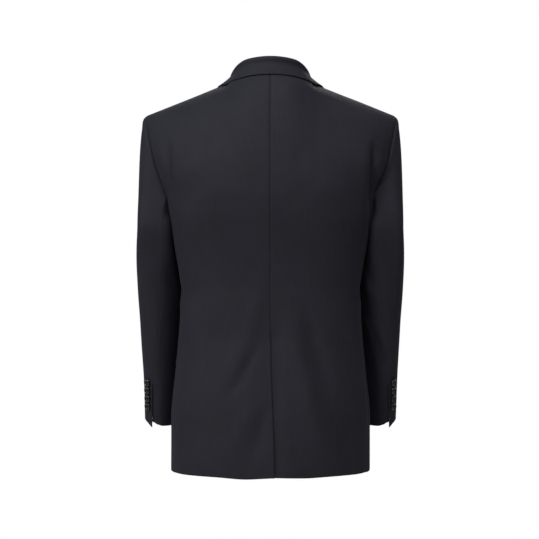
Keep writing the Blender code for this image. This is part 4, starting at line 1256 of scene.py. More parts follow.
@dataclass
class Sleeves:
    """The two-piece sleeves, set into the armholes, with buttoned vents at the back of the cuffs."""

    step: float = 4.3
    cuff_z: float = -621.0
    cap_end_z: float = -255.0
    hind_seam: float = 92.0  # degrees round the sleeve from its outer side, through the back, at the cuff
    fore_seam: float = 236.0
    power: float = 2.25
    underarm_angle: float = 118.0
    shoulder_curve: float = 1.25
    cap_spread: float = 36.0
    underarm_spread: float = 14.0
    cap_fullness: float = 10.0
    cap_drop: float = 0.3
    rim_gap: float = -1.2  # the rim reaches this far under the panels' edges
    underarm_gap: float = -0.4
    rim_lean: float = 0.05
    head_rise: float = 1.2
    hug: float = 3.2  # how far it swells towards the body under the arm
    heel: float = 9.0  # and further beside the hind seam
    cuff_lift: float = 14.0  # how much shorter the cuff is at its outer side than at its vent
    hem_run: float = 26.0  # how far up the cuff its slant and its corners reach
    head_away: float = 9.0
    head_width: float = 6.5
    heel_angle: float = 142.0
    heel_width: float = 22.0
    heel_foot_z: float = -360.0
    top_vent: VentEdge = VentEdge(1.0, 9, -3.2, 6)
    under_vent: VentEdge = VentEdge(-1.5, 11, 7.0, 11)
    vent_top_z: float = -538.0
    top_cut: Cut = Cut(212, 565, 0.0978, rests_on=("back_left", "front_left"))
    under_cut: Cut = Cut(145, 430, 0.0487, rests_on=("back_left", "front_left"))
    creases: tuple[Crease, ...] = (
        Crease(((30, -330), (74, -392), (96, -470)), -1.5, 14, 1.3),
        Crease(((58, -300), (92, -380), (112, -452)), 1.4, 14, 1.3),
        Crease(((-76, -330), (-60, -356), (-36, -372)), -1.6, 9, 1.3),
        Crease(((-84, -360), (-62, -388), (-32, -398)), 1.4, 10, 1.3),
        Crease(((-88, -392), (-70, -420), (-44, -436)), -1.5, 9, 1.4),
        Crease(((-60, -140), (-66, -200), (-74, -270)), -1.8, 12, 1.4),
        Crease(((60, -120), (72, -186), (84, -262)), -1.6, 13, 1.4),
        Crease(((-20, -250), (-10, -330), (-16, -430)), 1.1, 22, 1.2),
        Crease(((10, -470), (24, -540), (20, -612)), -0.9, 18, 1.2),
        Crease(((120, -300), (142, -360), (150, -440)), -1.5, 12, 1.3),
        Crease(((176, -262), (166, -330), (172, -410)), 1.4, 14, 1.3),
    )
    right_creases: tuple[Crease, ...] = (
        Crease(((150, -430), (118, -482), (84, -540)), -2.2, 10, 1.3),
        Crease(((132, -420), (102, -466), (68, -516)), 1.8, 11, 1.3),
        Crease(((-80, -340), (-58, -362), (-30, -380)), -1.5, 9, 1.3),
        Crease(((-86, -372), (-60, -396), (-34, -408)), 1.3, 10, 1.3),
        Crease(((-92, -404), (-66, -430), (-38, -448)), -1.4, 10, 1.4),
        Crease(((-58, -130), (-68, -196), (-72, -276)), -1.7, 12, 1.4),
        Crease(((62, -110), (78, -176), (92, -256)), -2.0, 12, 1.4),
        Crease(((16, -260), (8, -350), (14, -450)), 1.0, 22, 1.2),
        Crease(((160, -270), (176, -340), (168, -420)), -1.4, 12, 1.3),
        Crease(((160, -334), (148, -360), (134, -392)), 4.2, 6, 1.2),
        Crease(((162, -412), (150, -438), (136, -470)), 3.6, 6, 1.2),
    )

    def __post_init__(self) -> None:
        """Reads the sections into curves."""
        self.curve = {column: Profile(SLEEVE, column) for column in SleeveRing._fields[1:]}
        self.hind_turn = Profile(HIND_LINE, "turn", "climb")

    def armhole(self, angle: Grid) -> Grid:
        """The armhole's seam line: angle is 0 at the shoulder tip, 90 at the back and 180 under the arm."""
        turn = np.mod(angle, 360)
        tip_z = float(JACKET.ridge_z(SHOULDER_X))
        back = turn <= 180
        reach = np.where(back, turn, 360 - turn)
        side_part = np.clip(reach / self.underarm_angle, 0, 1)
        z = tip_z + (ARMPIT_Z - tip_z) * np.sin(side_part * math.pi / 2) ** self.shoulder_curve
        x = np.where(back, JACKET.back_edge(z), JACKET.front_edge(z))
        y = np.where(back, JACKET.back(x, z), JACKET.front(x, z))
        sweep = np.clip((reach - self.underarm_angle) / (180 - self.underarm_angle), 0, 1) / 2
        share = np.where(back, sweep, 1 - sweep)
        low_z = armhole_foot(share)
        low_x, low_y = JACKET.beside(share, low_z)
        under = (reach > self.underarm_angle)[..., None]
        return np.where(under, xyz(low_x, low_y, low_z), xyz(x, y, z))

    def ring(self, z: Grid, angle: Grid) -> Grid:
        """A point round the sleeve below the armpit: 0 degrees is its outer side and 90 its back."""
        x, y, thick, wide, turn, back_power = (self.curve[column](z) for column in SleeveRing._fields[1:])
        angle, lean = np.radians(angle), np.radians(turn)
        power = 2 / np.where(np.sin(angle) > 0, back_power, self.power)
        out, back = thick * bowed(np.cos(angle), power), wide * bowed(np.sin(angle), power)
        across = x + out * np.cos(lean) + back * np.sin(lean)
        return xyz(across, y - out * np.sin(lean) + back * np.cos(lean), z)

    def point(self, climb: Grid, angle: Grid) -> Grid:
        """Down the sleeve: climb runs from 0 at the armhole over 1 at the cap's end to 2 at the cuff."""
        under = (1 - np.cos(np.radians(angle))) / 2
        loop = self.armhole(angle)
        loop[..., 0] += self.rim_gap + self.underarm_gap * under
        ring = self.ring(np.full_like(angle, self.cap_end_z), angle)
        height = 1 - under
        drop = np.linalg.norm(ring - loop, axis=-1)
        leave_x = self.cap_spread * height + self.underarm_spread * under
        leave_y = self.cap_fullness * np.sin(np.radians(angle))
        leave = xyz(leave_x, leave_y, -self.cap_drop * drop * (1 - height / 2))
        below = self.ring(np.full_like(angle, self.cap_end_z - 1), angle)
        arrive = (below - ring) * drop[..., None]
        w = np.clip(climb, 0, 1)[..., None]
        cap = loop * (1 + 2 * w) * (1 - w) ** 2 + leave * w * (1 - w) ** 2
        cap = cap + ring * w * w * (3 - 2 * w) + arrive * w * w * (w - 1)
        down = np.clip(climb - 1, 0, 1)
        low = self.ring(self.cap_end_z + (self.cuff_z - self.cap_end_z) * down, angle)
        return np.where(climb[..., None] <= 1, cap, low)

    def seamed(self, climb: Grid, angle: Grid) -> Grid:
        """Angles round the sleeve, moved so that the hind seam keeps to its line."""
        share = np.where(
            angle < self.hind_seam,
            angle / self.hind_seam,
            (self.fore_seam - angle) / (self.fore_seam - self.hind_seam),
        )
        return angle + (self.hind_turn(climb) - self.hind_seam) * np.maximum(share, 0)

    def spaced(self, start: float, end: float) -> Grid:
        """Angles that space the columns evenly, half by the armhole and half by the arm."""
        dense = np.linspace(start, end, 721)
        total = np.zeros(len(dense))
        for line in (self.armhole(dense), self.ring(np.full_like(dense, self.cap_end_z), dense)):
            steps = np.linalg.norm(np.diff(line, axis=0), axis=1)
            total[1:] += np.cumsum(steps) / 2
        return np.interp(eased(float(total[-1]), self.step) * total[-1], total, dense)

    def draft(self, piece: SleevePiece) -> Draft:
        """The left sleeve's piece, rows from the cuff to the armhole, columns by increasing angle."""
        if piece is SleevePiece.TOP:
            angles = self.spaced(self.fore_seam - 360, self.hind_seam)
        else:
            angles = self.spaced(self.hind_seam, self.fore_seam)
        cap, arm = eased(176, self.step, end=False), eased(366, self.step, start=False)
        climb = np.concatenate([cap, 1 + arm[1:]])[::-1]
        before, after = 2 * angles[0] - angles[1], 2 * angles[-1] - angles[-2]
        climb, angle = np.meshgrid(climb, np.concatenate([[before], angles, [after]]), indexing="ij")
        angle = self.seamed(climb, angle)
        grid = self.point(climb, angle)
        inward = -normals_of(grid)
        inward[-1, :, 0] = np.maximum(inward[-1, :, 0], self.rim_lean)
        inward[-1] = unit(inward[-1])
        vent = smoothstep((grid[:, :1, 2] - self.vent_top_z) / 8)
        hind, fore = (Edge.LAST, Edge.FIRST) if piece is SleevePiece.TOP else (Edge.FIRST, Edge.LAST)
        return Draft(
            grid=grid[:, 1:-1],
            place=(angle[:, 1:-1], grid[:, 1:-1, 2]),
            inward=inward[:, 1:-1],
            seams={hind: 0.15 * vent, fore: 1.0, Edge.TOP: (1 + np.cos(np.radians(angle[-1:, 1:-1]))) / 2},
        )

    def shape(self, draft: Draft, piece: SleevePiece) -> None:
        """Raises the sleeve head, laps the vent and gives its corner its point, before any mirroring."""
        grid, z, angle = draft.grid, draft.grid[..., 2], draft.place[0]
        outside = np.cos(np.radians(angle))
        down, length = travelled(grid, 0), travelled(grid, 1)
        top = piece is SleevePiece.TOP
        vent, away = (self.top_vent, length[:, -1:] - length) if top else (self.under_vent, length)
        head = bell(down[-1:] - down - self.head_away, self.head_width) * smoothstep((outside + 0.1) / 0.8)
        lap = vent.lap * bell(away, vent.lap_width) * smoothstep((self.vent_top_z - z) / 14)
        under = smoothstep((-outside - 0.1) / 0.8)
        near = band(z, ARMPIT_Z - 24, 24, ELBOW_Z, 70)
        heel = bell(angle - self.heel_angle, self.heel_width)
        heel = heel * band(z, ARMPIT_Z + 6, 20, self.heel_foot_z, 70)
        lift = self.head_rise * head + lap + self.hug * under * near + self.heel * heel
        draft.grid = grid - draft.inward * lift[..., None]
        slant = vent.corner * bell(away, vent.corner_width) + self.cuff_lift * np.clip(outside, 0, 1)
        draft.grid[..., 2] += slant * smoothstep((self.cuff_z + self.hem_run - z) / self.hem_run)

    def build(self, tailoring: Tailoring) -> None:
        """Makes the four pieces."""
        for side in Side:
            parts = (*side.pick(self.creases, self.right_creases), Ripple(side.pick(71, 73), 0.5))
            for piece in SleevePiece:
                draft = self.draft(piece)
                self.shape(draft, piece)
                draft = draft.worn(side)
                draft.place = (draft.place[0] * side.value, draft.place[1])
                cut = self.top_cut if piece is SleevePiece.TOP else self.under_cut
                tailoring.make(side.of(piece.value), draft, cut, parts)


# Pockets


@dataclass
class HipPockets:
    """The hip pockets: each a flap that hangs out from under a narrow jetting, over the side panel's seam."""

    step: float = 3.4
    top_z: float = -464.0
    depth: float = 52.0
    slant: float = 3.0
    front_turn: float = 164.0
    side_turn: float = 101.0
    corner_share: float = 0.08
    corner: float = 9.0
    lift: float = CLOTH + 2.2
    flare: float = 1.6
    tuck: float = 3.0
    jet: float = 5.4
    jet_lift: float = 2.6
    jet_round: float = 1.9
    jet_thick: float = 1.2
    flap_cut: Cut = Cut(161, 53, 0.0080, rests_on=("front_left", "side_left"))
    jet_cut: Cut = Cut(153, 10, 0.00106, held="folded", rests_on=("front_left", "side_left"))

    def around(self, share: Grid, z: Grid) -> Grid:
        """Places on the body along the pocket at some heights."""
        turn = self.front_turn + (self.side_turn - self.front_turn) * share + 0 * z
        return xyz(*JACKET.around(turn, z), z)

    def flap(self) -> Draft:
        """The left flap's outer face, columns from the front to the side."""
        share = eased(158, self.step)[None, :]
        fall = 1 - eased(self.depth, self.step)[:, None]
        into_corner = (np.abs(share - 0.5) - 0.5 + self.corner_share) / self.corner_share
        corner = np.sqrt(1 - np.clip(into_corner, 0, 0.97) ** 2)
        z = self.top_z + self.slant * share - (self.depth - self.corner * (1 - corner)) * fall
        grid = self.around(share, z)
        top = smoothstep(1 - fall * self.depth / 9)
        lift = self.lift + self.flare * fall**2 * (0.7 + 0.3 * np.sin(share * 9.0)) - self.tuck * top
        return Draft(grid + normals_of(grid) * lift[..., None], thick=CLOTH * 0.9)

    def jetting(self) -> Draft:
        """The left jetting's outer face: a narrow roll of cloth over the flap's top."""
        share = np.linspace(-0.012, 1.012, 50)[None, :]
        climb = np.linspace(0, 1, 7)[:, None]
        z = self.top_z + self.slant * share + self.jet * (climb - 0.15)
        grid = self.around(share, z)
        lift = self.jet_lift - self.jet_round * np.abs(2 * climb - 1) ** 2.4 + 0 * share
        return Draft(grid + normals_of(grid) * lift[..., None], thick=self.jet_thick)

    def build(self, tailoring: Tailoring) -> None:
        """Makes both pockets."""
        for side in Side:
            flap, jetting = self.flap().worn(side), self.jetting().worn(side)
            ripple = Ripple(side.pick(83, 89), 0.3)
            tailoring.make(side.of("pocket_flap"), flap, self.flap_cut, (ripple,))
            tailoring.make(side.of("pocket_jetting"), jetting, self.jet_cut, packed=False)


@dataclass
class BreastPocket:
    """The slanting welt of the breast pocket, on the wearer's left."""

    step: float = 3.4
    start_x: float = 94.0
    end_x: float = 160.0
    low_z: float = -238.0
    length: float = 70.0
    height: float = 23.0
    sewn: float = 2.2  # how wide its sewn edges are held down
    slant: float = 9.0
    lift: float = CLOTH + 1.2
    tuck: float = 2.2
    cut: Cut = Cut(81, 24, 0.0019, held="folded", rests_on=("front_left",))

    def draft(self) -> Draft:
        """The welt's outer face, sewn down at its lower edge and its two ends."""
        share = eased(self.length, self.step)[None, :]
        climb = eased(self.height, self.step)[:, None]
        x = self.start_x + (self.end_x - self.start_x) * share + 0 * climb
        z = self.low_z + self.slant * share + self.height * climb
        grid = xyz(x, JACKET.front(x, z), z)
        ends = np.maximum(bell(share * self.length, self.sewn), bell((1 - share) * self.length, self.sewn))
        down = np.maximum(bell(climb * self.height, self.sewn), ends * 0.7)
        lift = self.lift + 0.5 * climb - self.tuck * down
        return Draft(grid + normals_of(grid) * lift[..., None], thick=CLOTH * 0.9)

    def build(self, tailoring: Tailoring) -> None:
        """Makes the welt."""
        tailoring.make("breast_welt", self.draft(), self.cut, (Ripple(97, 0.25),))


# The waistcoat


@dataclass
class Waistcoat:
    """The waistcoat under the jacket: wool fronts that button to a V neck, and a satin back."""

    step: float = 5.6
    shoulder_x: float = 160.0
    neck_z: float = -302.0
    back_hem_z: float = -500.0
    point_z: float = -548.0
    point_x: float = 46.0
    point_width: float = 70.0
    front_drop: float = 12.0
    armhole_z: float = -252.0
    spread: float = 0.8
    tuck: float = VEST_CLOTH + 3 * SEAM_GAP
    tuck_reach: float = 40.0
    tuck_fade: float = 24.0
    tuck_rise: float = 80.0
    tuck_run: float = 50.0
    facing_share: float = 0.34
    creases: tuple[Crease, ...] = (
        Crease(((14, -402), (54, -392), (120, -376)), 1.3, 12, 1.5),
        Crease(((14, -424), (54, -432), (116, -424)), -1.3, 12, 1.5),
        Crease(((16, -356), (50, -344), (104, -316)), -1.0, 12, 1.5),
        Crease(((70, -260), (96, -210), (112, -150)), 1.2, 16, 1.3),
    )
    back_creases: tuple[Crease, ...] = (
        Crease(((-120, -400), (-60, -384), (10, -392)), -1.4, 10, 1.3),
        Crease(((120, -404), (54, -396), (-6, -410)), 1.3, 11, 1.3),
        Crease(((96, -378), (40, -366), (-30, -376)), -1.2, 10, 1.3),
        Crease(((-70, -180), (-76, -240), (-70, -320)), 1.2, 18),
        Crease(((70, -170), (78, -236), (74, -320)), -1.2, 18),
    )
    front_cut: Cut = Cut(255, 597, 0.0929)
    back_cut: Cut = Cut(462, 557, 0.1883)

    def edge(self, z: Grid) -> Grid:
        """Half its width: round to the side seam, then in along the armhole to the shoulder."""
        return np.where(z > self.armhole_z, VEST_ARMHOLE(z), VEST.half_width(z))

    def turn(self, x: Grid, z: Grid, power: Grid | float) -> Grid:
        """The angle round it, in degrees, of a place this far across."""
        share = np.clip(np.abs(x) / VEST.half_width(z), 0, 1) ** (power / 2)
        return np.degrees(np.arcsin(share)) * np.sign(x)

    def rows(self, bottom: Grid, top_z: Grid) -> Grid:
        """Heights of the rows from the hem past the armhole's foot to the shoulder."""
        climb = eased(self.armhole_z - self.back_hem_z, self.step, end=False)[:, None]
        body = bottom + (self.armhole_z - bottom) * climb + 0 * top_z
        between = np.linspace(self.armhole_z, ARMPIT_Z, 10)[1:, None] + 0 * top_z
        return np.concatenate([body, between, upper_rows(top_z, self.step)])

    def back(self) -> Draft:
        """The back's outer face, columns from the wearer's left to the right."""
        share = 2 * eased(340, self.step)[None, :] - 1
        spread = bowed(np.sin(share * math.pi / 2), self.spread)
        top_y, top_z = VEST.back_top(spread * self.shoulder_x)
        z = self.rows(self.back_hem_z + 0 * spread, top_z)
        power = BACK_POWER(z)
        turn = self.turn(self.edge(z), z, power) * share
        ring_x = VEST.half_width(z) * bowed(np.sin(np.radians(turn)), 2 / power)
        x = np.where(z > self.armhole_z, spread * self.edge(z), ring_x)
        y = VEST.back(x, z)
        y[-1] = top_y
        grid = xyz(x, np.maximum(y, SEAM_GAP), z)[:, ::-1]
        draft = Draft(grid, seams={Edge.TOP: 1.0}, thick=VEST_CLOTH)
        draft.level_top()
        return draft

    def front(self, side: Side) -> Draft:
        """A front's outer face, from its V neck and buttoned edge to the side seam on the left."""
        share = eased(170, self.step)[None, :]
        top_x = NECK_X + (self.shoulder_x - NECK_X) * share
        point = np.clip(1 - np.abs(share * self.shoulder_x - self.point_x) / self.point_width, 0, 1)
        bottom = self.back_hem_z + (self.point_z - self.back_hem_z) * point - self.front_drop * (1 - share)
        z = self.rows(bottom, VEST.ridge_z(top_x))
        edge_x = VEST_NECK(z)
        start = self.turn(edge_x, z, FRONT_POWER)
        turn = np.radians(start + (self.turn(self.edge(z), z, FRONT_POWER) - start) * share)
        ring_x = VEST.half_width(z) * bowed(np.sin(turn), 2 / FRONT_POWER)
        x = np.where(z > ARMPIT_Z, edge_x + (self.edge(z) - edge_x) * share, ring_x)
        z = np.minimum(z, np.where(x > NECK_X, VEST.ridge_z(x), z))
        y = np.minimum(VEST.front(x, z), -SEAM_GAP)
        y[-1] = RIDGE_Y - 2 * SEAM_GAP
        if side is Side.RIGHT:
            across = smoothstep((self.tuck_reach - x) / self.tuck_fade)
            y = y + self.tuck * across * smoothstep((self.neck_z + self.tuck_rise - z) / self.tuck_run)
        grid = xyz(x, y, z)
        faced = cells_of(grid) & (share[:, :-1] < self.facing_share)
        draft = Draft(grid, faced=faced, seams={Edge.TOP: 1.0}, thick=VEST_CLOTH).worn(side)
        draft.place = (draft.place[0] * side.value, draft.place[1])
        draft.level_top()
        return draft

    def build(self, tailoring: Tailoring, satin: Material) -> None:
        """Makes the three pieces."""
        for side in Side:
            parts = (*self.creases, Ripple(side.pick(101, 103), 0.4))
            tailoring.make(side.of("vest_front"), self.front(side), self.front_cut, parts)
        parts = (*self.back_creases, Ripple(107, 0.5))
        back = tailoring.make("vest_back", self.back(), self.back_cut, parts, cloth="satin")
        for index in range(len(back.data.materials)):
            back.data.materials[index] = satin


# Finishes


@dataclass
class NodeWork:
    """A node tree while it is laid out."""

    tree: bpy.types.NodeTree

    def node(self, kind: str, inputs: dict | None = None, **settings: object) -> Node:
        """Adds a node.

        Args:
            kind: the node's type.
            inputs: a constant or a socket for each named or numbered input.
            settings: the node's own settings.

        Returns:
            The node.
        """
        made = self.tree.nodes.new(kind)
        for key, value in settings.items():
            setattr(made, key, value)
        self.fill(made, inputs or {})
        return made

    def fill(self, made: Node, inputs: dict) -> None:
        """Sets or links a node's inputs."""
        for key, value in inputs.items():
            socket = made.inputs[key]
            if isinstance(value, Socket):
                self.tree.links.new(value, socket)
            else:
                socket.default_value = value

    def out(self, kind: str, inputs: dict | None = None, **settings: object) -> Socket:
        """Adds a node and gives its first output."""
        return self.node(kind, inputs, **settings).outputs[0]

    def sum(self, kind: str, first: object, second: object) -> Socket:
        """The result of a Math node."""
        return self.out("ShaderNodeMath", {0: first, 1: second}, operation=kind)

    def plus(self, first: object, second: object) -> Socket:
        """The sum of two values."""
        return self.sum("ADD", first, second)

    def times(self, first: object, second: object) -> Socket:
        """The product of two values."""
        return self.sum("MULTIPLY", first, second)


class Recipe(NodeWork):
    """A material while its nodes are laid out."""

    def __init__(self, name: str) -> None:
        """Starts from a plain shader."""
        self.material = bpy.data.materials.new(name)
        self.material.use_nodes = True
        super().__init__(self.material.node_tree)
        self.shader = self.tree.nodes["Principled BSDF"]

    def stretched(self, source: Socket, scale: Triple) -> Socket:
        """Coordinates scaled along each axis."""
        return self.out("ShaderNodeMapping", {"Vector": source, "Scale": scale})

    def noise(self, where: Socket, scale: float, detail: float = 2.0) -> Socket:
        """A noise between 0 and 1."""
        return self.out("ShaderNodeTexNoise", {"Vector": where, "Scale": scale, "Detail": detail})

    def shade(self, factor: Socket, stops: Sequence[tuple[float, tuple]]) -> Socket:
        """Colours along a ramp."""
        ramp = self.node("ShaderNodeValToRGB", {"Fac": factor})
        points = ramp.color_ramp.elements
        while len(points) < len(stops):
            points.new(0.5)
        for point, (at, colour) in zip(points, stops):
            point.position, point.color = at, (*colour, 1.0)
        return ramp.outputs[0]

    def graded(self, factor: Socket, low: float, high: float) -> Socket:
        """A factor mapped from 0.25..0.75 to a range."""
        inputs = {"Value": factor, "From Min": 0.25, "From Max": 0.75, "To Min": low, "To Max": high}
        return self.out("ShaderNodeMapRange", inputs)

    def finish(self, colour: Socket, rough: Socket, relief: tuple, more: dict) -> Material:
        """Fills the shader.

        Args:
            colour: the base colour.
            rough: the roughness.
            relief: the bump's height, its distance and its strength.
            more: the shader's other inputs.

        Returns:
            The material.
        """
        bump = self.out("ShaderNodeBump", dict(zip(("Height", "Distance", "Strength"), relief)))
        self.fill(self.shader, {"Base Color": colour, "Roughness": rough, "Normal": bump} | more)
        return self.material


def tint(colour: Triple, amount: float) -> Triple:
    """A colour made lighter or darker."""
    return tuple(channel * amount for channel in colour)


@dataclass(frozen=True)
class Worsted:
    """Navy worsted twill: fine diagonal ribs, long thread streaks, and along pressed edges a lighter colour
    that is partly rubbed wear and partly a painted highlight.
    """

    colour: Triple = (0.0175, 0.0175, 0.0262)
    rib: float = 0.0009  # metres from one twill rib to the next
    streak: float = 0.16
    cloud: float = 0.10
    # how much lighter the cut edges are painted: partly rubbed wear, partly a painted highlight
    wear: float = 0.16
    roughness: float = 0.74
    sheen: float = 0.06
    relief: float = 0.00011

    def make(self) -> Material:
        """Lays out the material."""
        recipe = Recipe("navy worsted twill")
        cloth = recipe.out("ShaderNodeUVMap", uv_map="cloth")
        split = recipe.node("ShaderNodeSeparateXYZ", {0: cloth})
        slant = recipe.plus(split.outputs[0], split.outputs[1])
        wander = recipe.times(recipe.noise(cloth, 260.0, 1.0), 3.0)
        wave = recipe.plus(recipe.times(slant, 2 * math.pi / self.rib), wander)
        rib = recipe.graded(recipe.times(recipe.sum("SINE", wave, 0.0), 0.5), 0.0, 1.0)
        thread = recipe.noise(recipe.stretched(cloth, (1.0, 0.03, 1.0)), 1150.0, 3.0)
        band = recipe.noise(recipe.stretched(cloth, (1.0, 0.10, 1.0)), 210.0, 2.0)
        cloud = recipe.noise(cloth, 16.0, 3.0)
        streak = recipe.graded(recipe.times(recipe.plus(thread, band), 0.5), -self.streak, self.streak)
        # the edges' lighter colour: partly rubbed wear, partly a painted highlight along them
        worn = recipe.node("ShaderNodeAttribute", attribute_name="edge").outputs["Fac"]
        worn = recipe.times(worn, recipe.graded(recipe.noise(cloth, 420.0), 0.0, self.wear))
        amount = recipe.plus(recipe.plus(streak, recipe.graded(cloud, -self.cloud, self.cloud)), worn)
        share = recipe.plus(recipe.plus(amount, recipe.times(rib, 0.10)), 0.5)
        dark, light = tint(self.colour, 0.5), tint(self.colour, 1.5)
        colour = recipe.shade(share, [(0.0, dark), (0.5, self.colour), (1.0, light)])
        height = recipe.plus(recipe.times(rib, 0.55), recipe.times(thread, 0.8))
        rough = recipe.graded(recipe.plus(recipe.times(thread, 0.5), 0.25), 0.04, -0.04)
        more = {
            "Specular IOR Level": 0.28,
            "Sheen Weight": self.sheen,
            "Sheen Roughness": 0.45,
            "Sheen Tint": (0.62, 0.66, 0.86, 1.0),
        }
        return recipe.finish(colour, recipe.plus(rough, self.roughness), (height, self.relief, 0.9), more)


@dataclass(frozen=True)
class Satin:
    """The lining's satin: smooth and dark, with soft clouds in its gloss."""

    colour: Triple = (0.022, 0.023, 0.036)
    roughness: float = 0.36
    relief: float = 0.00006

    def make(self) -> Material:
        """Lays out the material."""
        recipe = Recipe("midnight satin")
        cloth = recipe.out("ShaderNodeUVMap", uv_map="cloth")
        thread = recipe.noise(recipe.stretched(cloth, (1.0, 0.05, 1.0)), 1500.0, 2.0)
        cloud = recipe.noise(cloth, 34.0, 3.0)
        colour = recipe.shade(cloud, [(0.25, tint(self.colour, 0.85)), (0.75, tint(self.colour, 1.2))])
        height = recipe.plus(thread, recipe.times(cloud, 6.0))
        rough = recipe.plus(recipe.graded(cloud, -0.05, 0.05), self.roughness)
        return recipe.finish(colour, rough, (height, self.relief, 0.8), {"Anisotropic": 0.35})


@dataclass(frozen=True)
class SilkThread:
    """Sewing thread in the cloth's navy, a little darker, with its twist."""

    colour: Triple = (0.016, 0.016, 0.025)
    roughness: float = 0.6
    relief: float = 0.00005

    def make(self) -> Material:
        """Lays out the material."""
        recipe = Recipe("navy silk thread")
        place = recipe.node("ShaderNodeTexCoord").outputs["Object"]
        twist = recipe.noise(place, 2600.0, 2.0)
        colour = recipe.shade(twist, [(0.3, tint(self.colour, 0.75)), (0.7, tint(self.colour, 1.3))])
        rough = recipe.plus(recipe.graded(twist, -0.06, 0.06), self.roughness)
        return recipe.finish(colour, rough, (twist, self.relief, 0.8), {"Sheen Weight": 0.15})


@dataclass(frozen=True)
class Horn:
    """Dark polished horn, with drawn-out brown streaks."""

    dark: Triple = (0.005, 0.005, 0.006)
    brown: Triple = (0.020, 0.017, 0.015)
    roughness: float = 0.17
    relief: float = 0.00003

    def make(self) -> Material:
        """Lays out the material."""
        recipe = Recipe("dark horn")
        place = recipe.node("ShaderNodeTexCoord").outputs["Object"]
        streak = recipe.noise(recipe.stretched(place, (1.0, 1.0, 0.22)), 420.0, 4.0)
        speck = recipe.noise(place, 1300.0, 3.0)
        colour = recipe.shade(streak, [(0.38, self.dark), (0.56, tint(self.brown, 0.45)), (0.72, self.brown)])
        rough = recipe.plus(recipe.graded(speck, -0.06, 0.08), self.roughness)
        more = {"Coat Weight": 0.8, "Coat Roughness": 0.06}
        return recipe.finish(colour, rough, (speck, self.relief, 0.5), more)


@dataclass(frozen=True)
class StudioPaper:
    """The matt white paper of the floor."""

    colour: Triple = (0.80, 0.80, 0.79)

    def make(self) -> Material:
        """Lays out the material."""
        recipe = Recipe("studio paper")
        grain = recipe.noise(recipe.node("ShaderNodeTexCoord").outputs["Object"], 60.0)
        colour = recipe.shade(grain, [(0.3, tint(self.colour, 0.985)), (0.7, self.colour)])
        recipe.fill(recipe.shader, {"Base Color": colour, "Roughness": 0.9, "Specular IOR Level": 0.1})
        return recipe.material


# Stitching


@dataclass(frozen=True)
class StitchLine:
    """A line of places on the cloth, with the direction that each faces."""

    points: Grid
    out: Grid


def line_on(face: Grid, part: tuple) -> StitchLine:
    """The line that an index picks from a piece's outer face."""
    return StitchLine(face[part], normals_of(face)[part])


@dataclass(frozen=True)
class Stitch:
    """One kind of stitch, in millimetres; turn is how far it lies across its line, in degrees."""

    pitch: float
    length: float
    width: float
    height: float
    turn: float = 0.0
    wander: float = 4.0


PICK_STITCH = Stitch(pitch=4.6, length=1.1, width=0.42, height=0.24)
EDGE_STITCH = Stitch(pitch=2.6, length=2.0, width=0.42, height=0.35, wander=2.0)
HOLE_STITCH = Stitch(pitch=0.58, length=2.1, width=0.5, height=0.62, turn=90.0, wander=3.0)


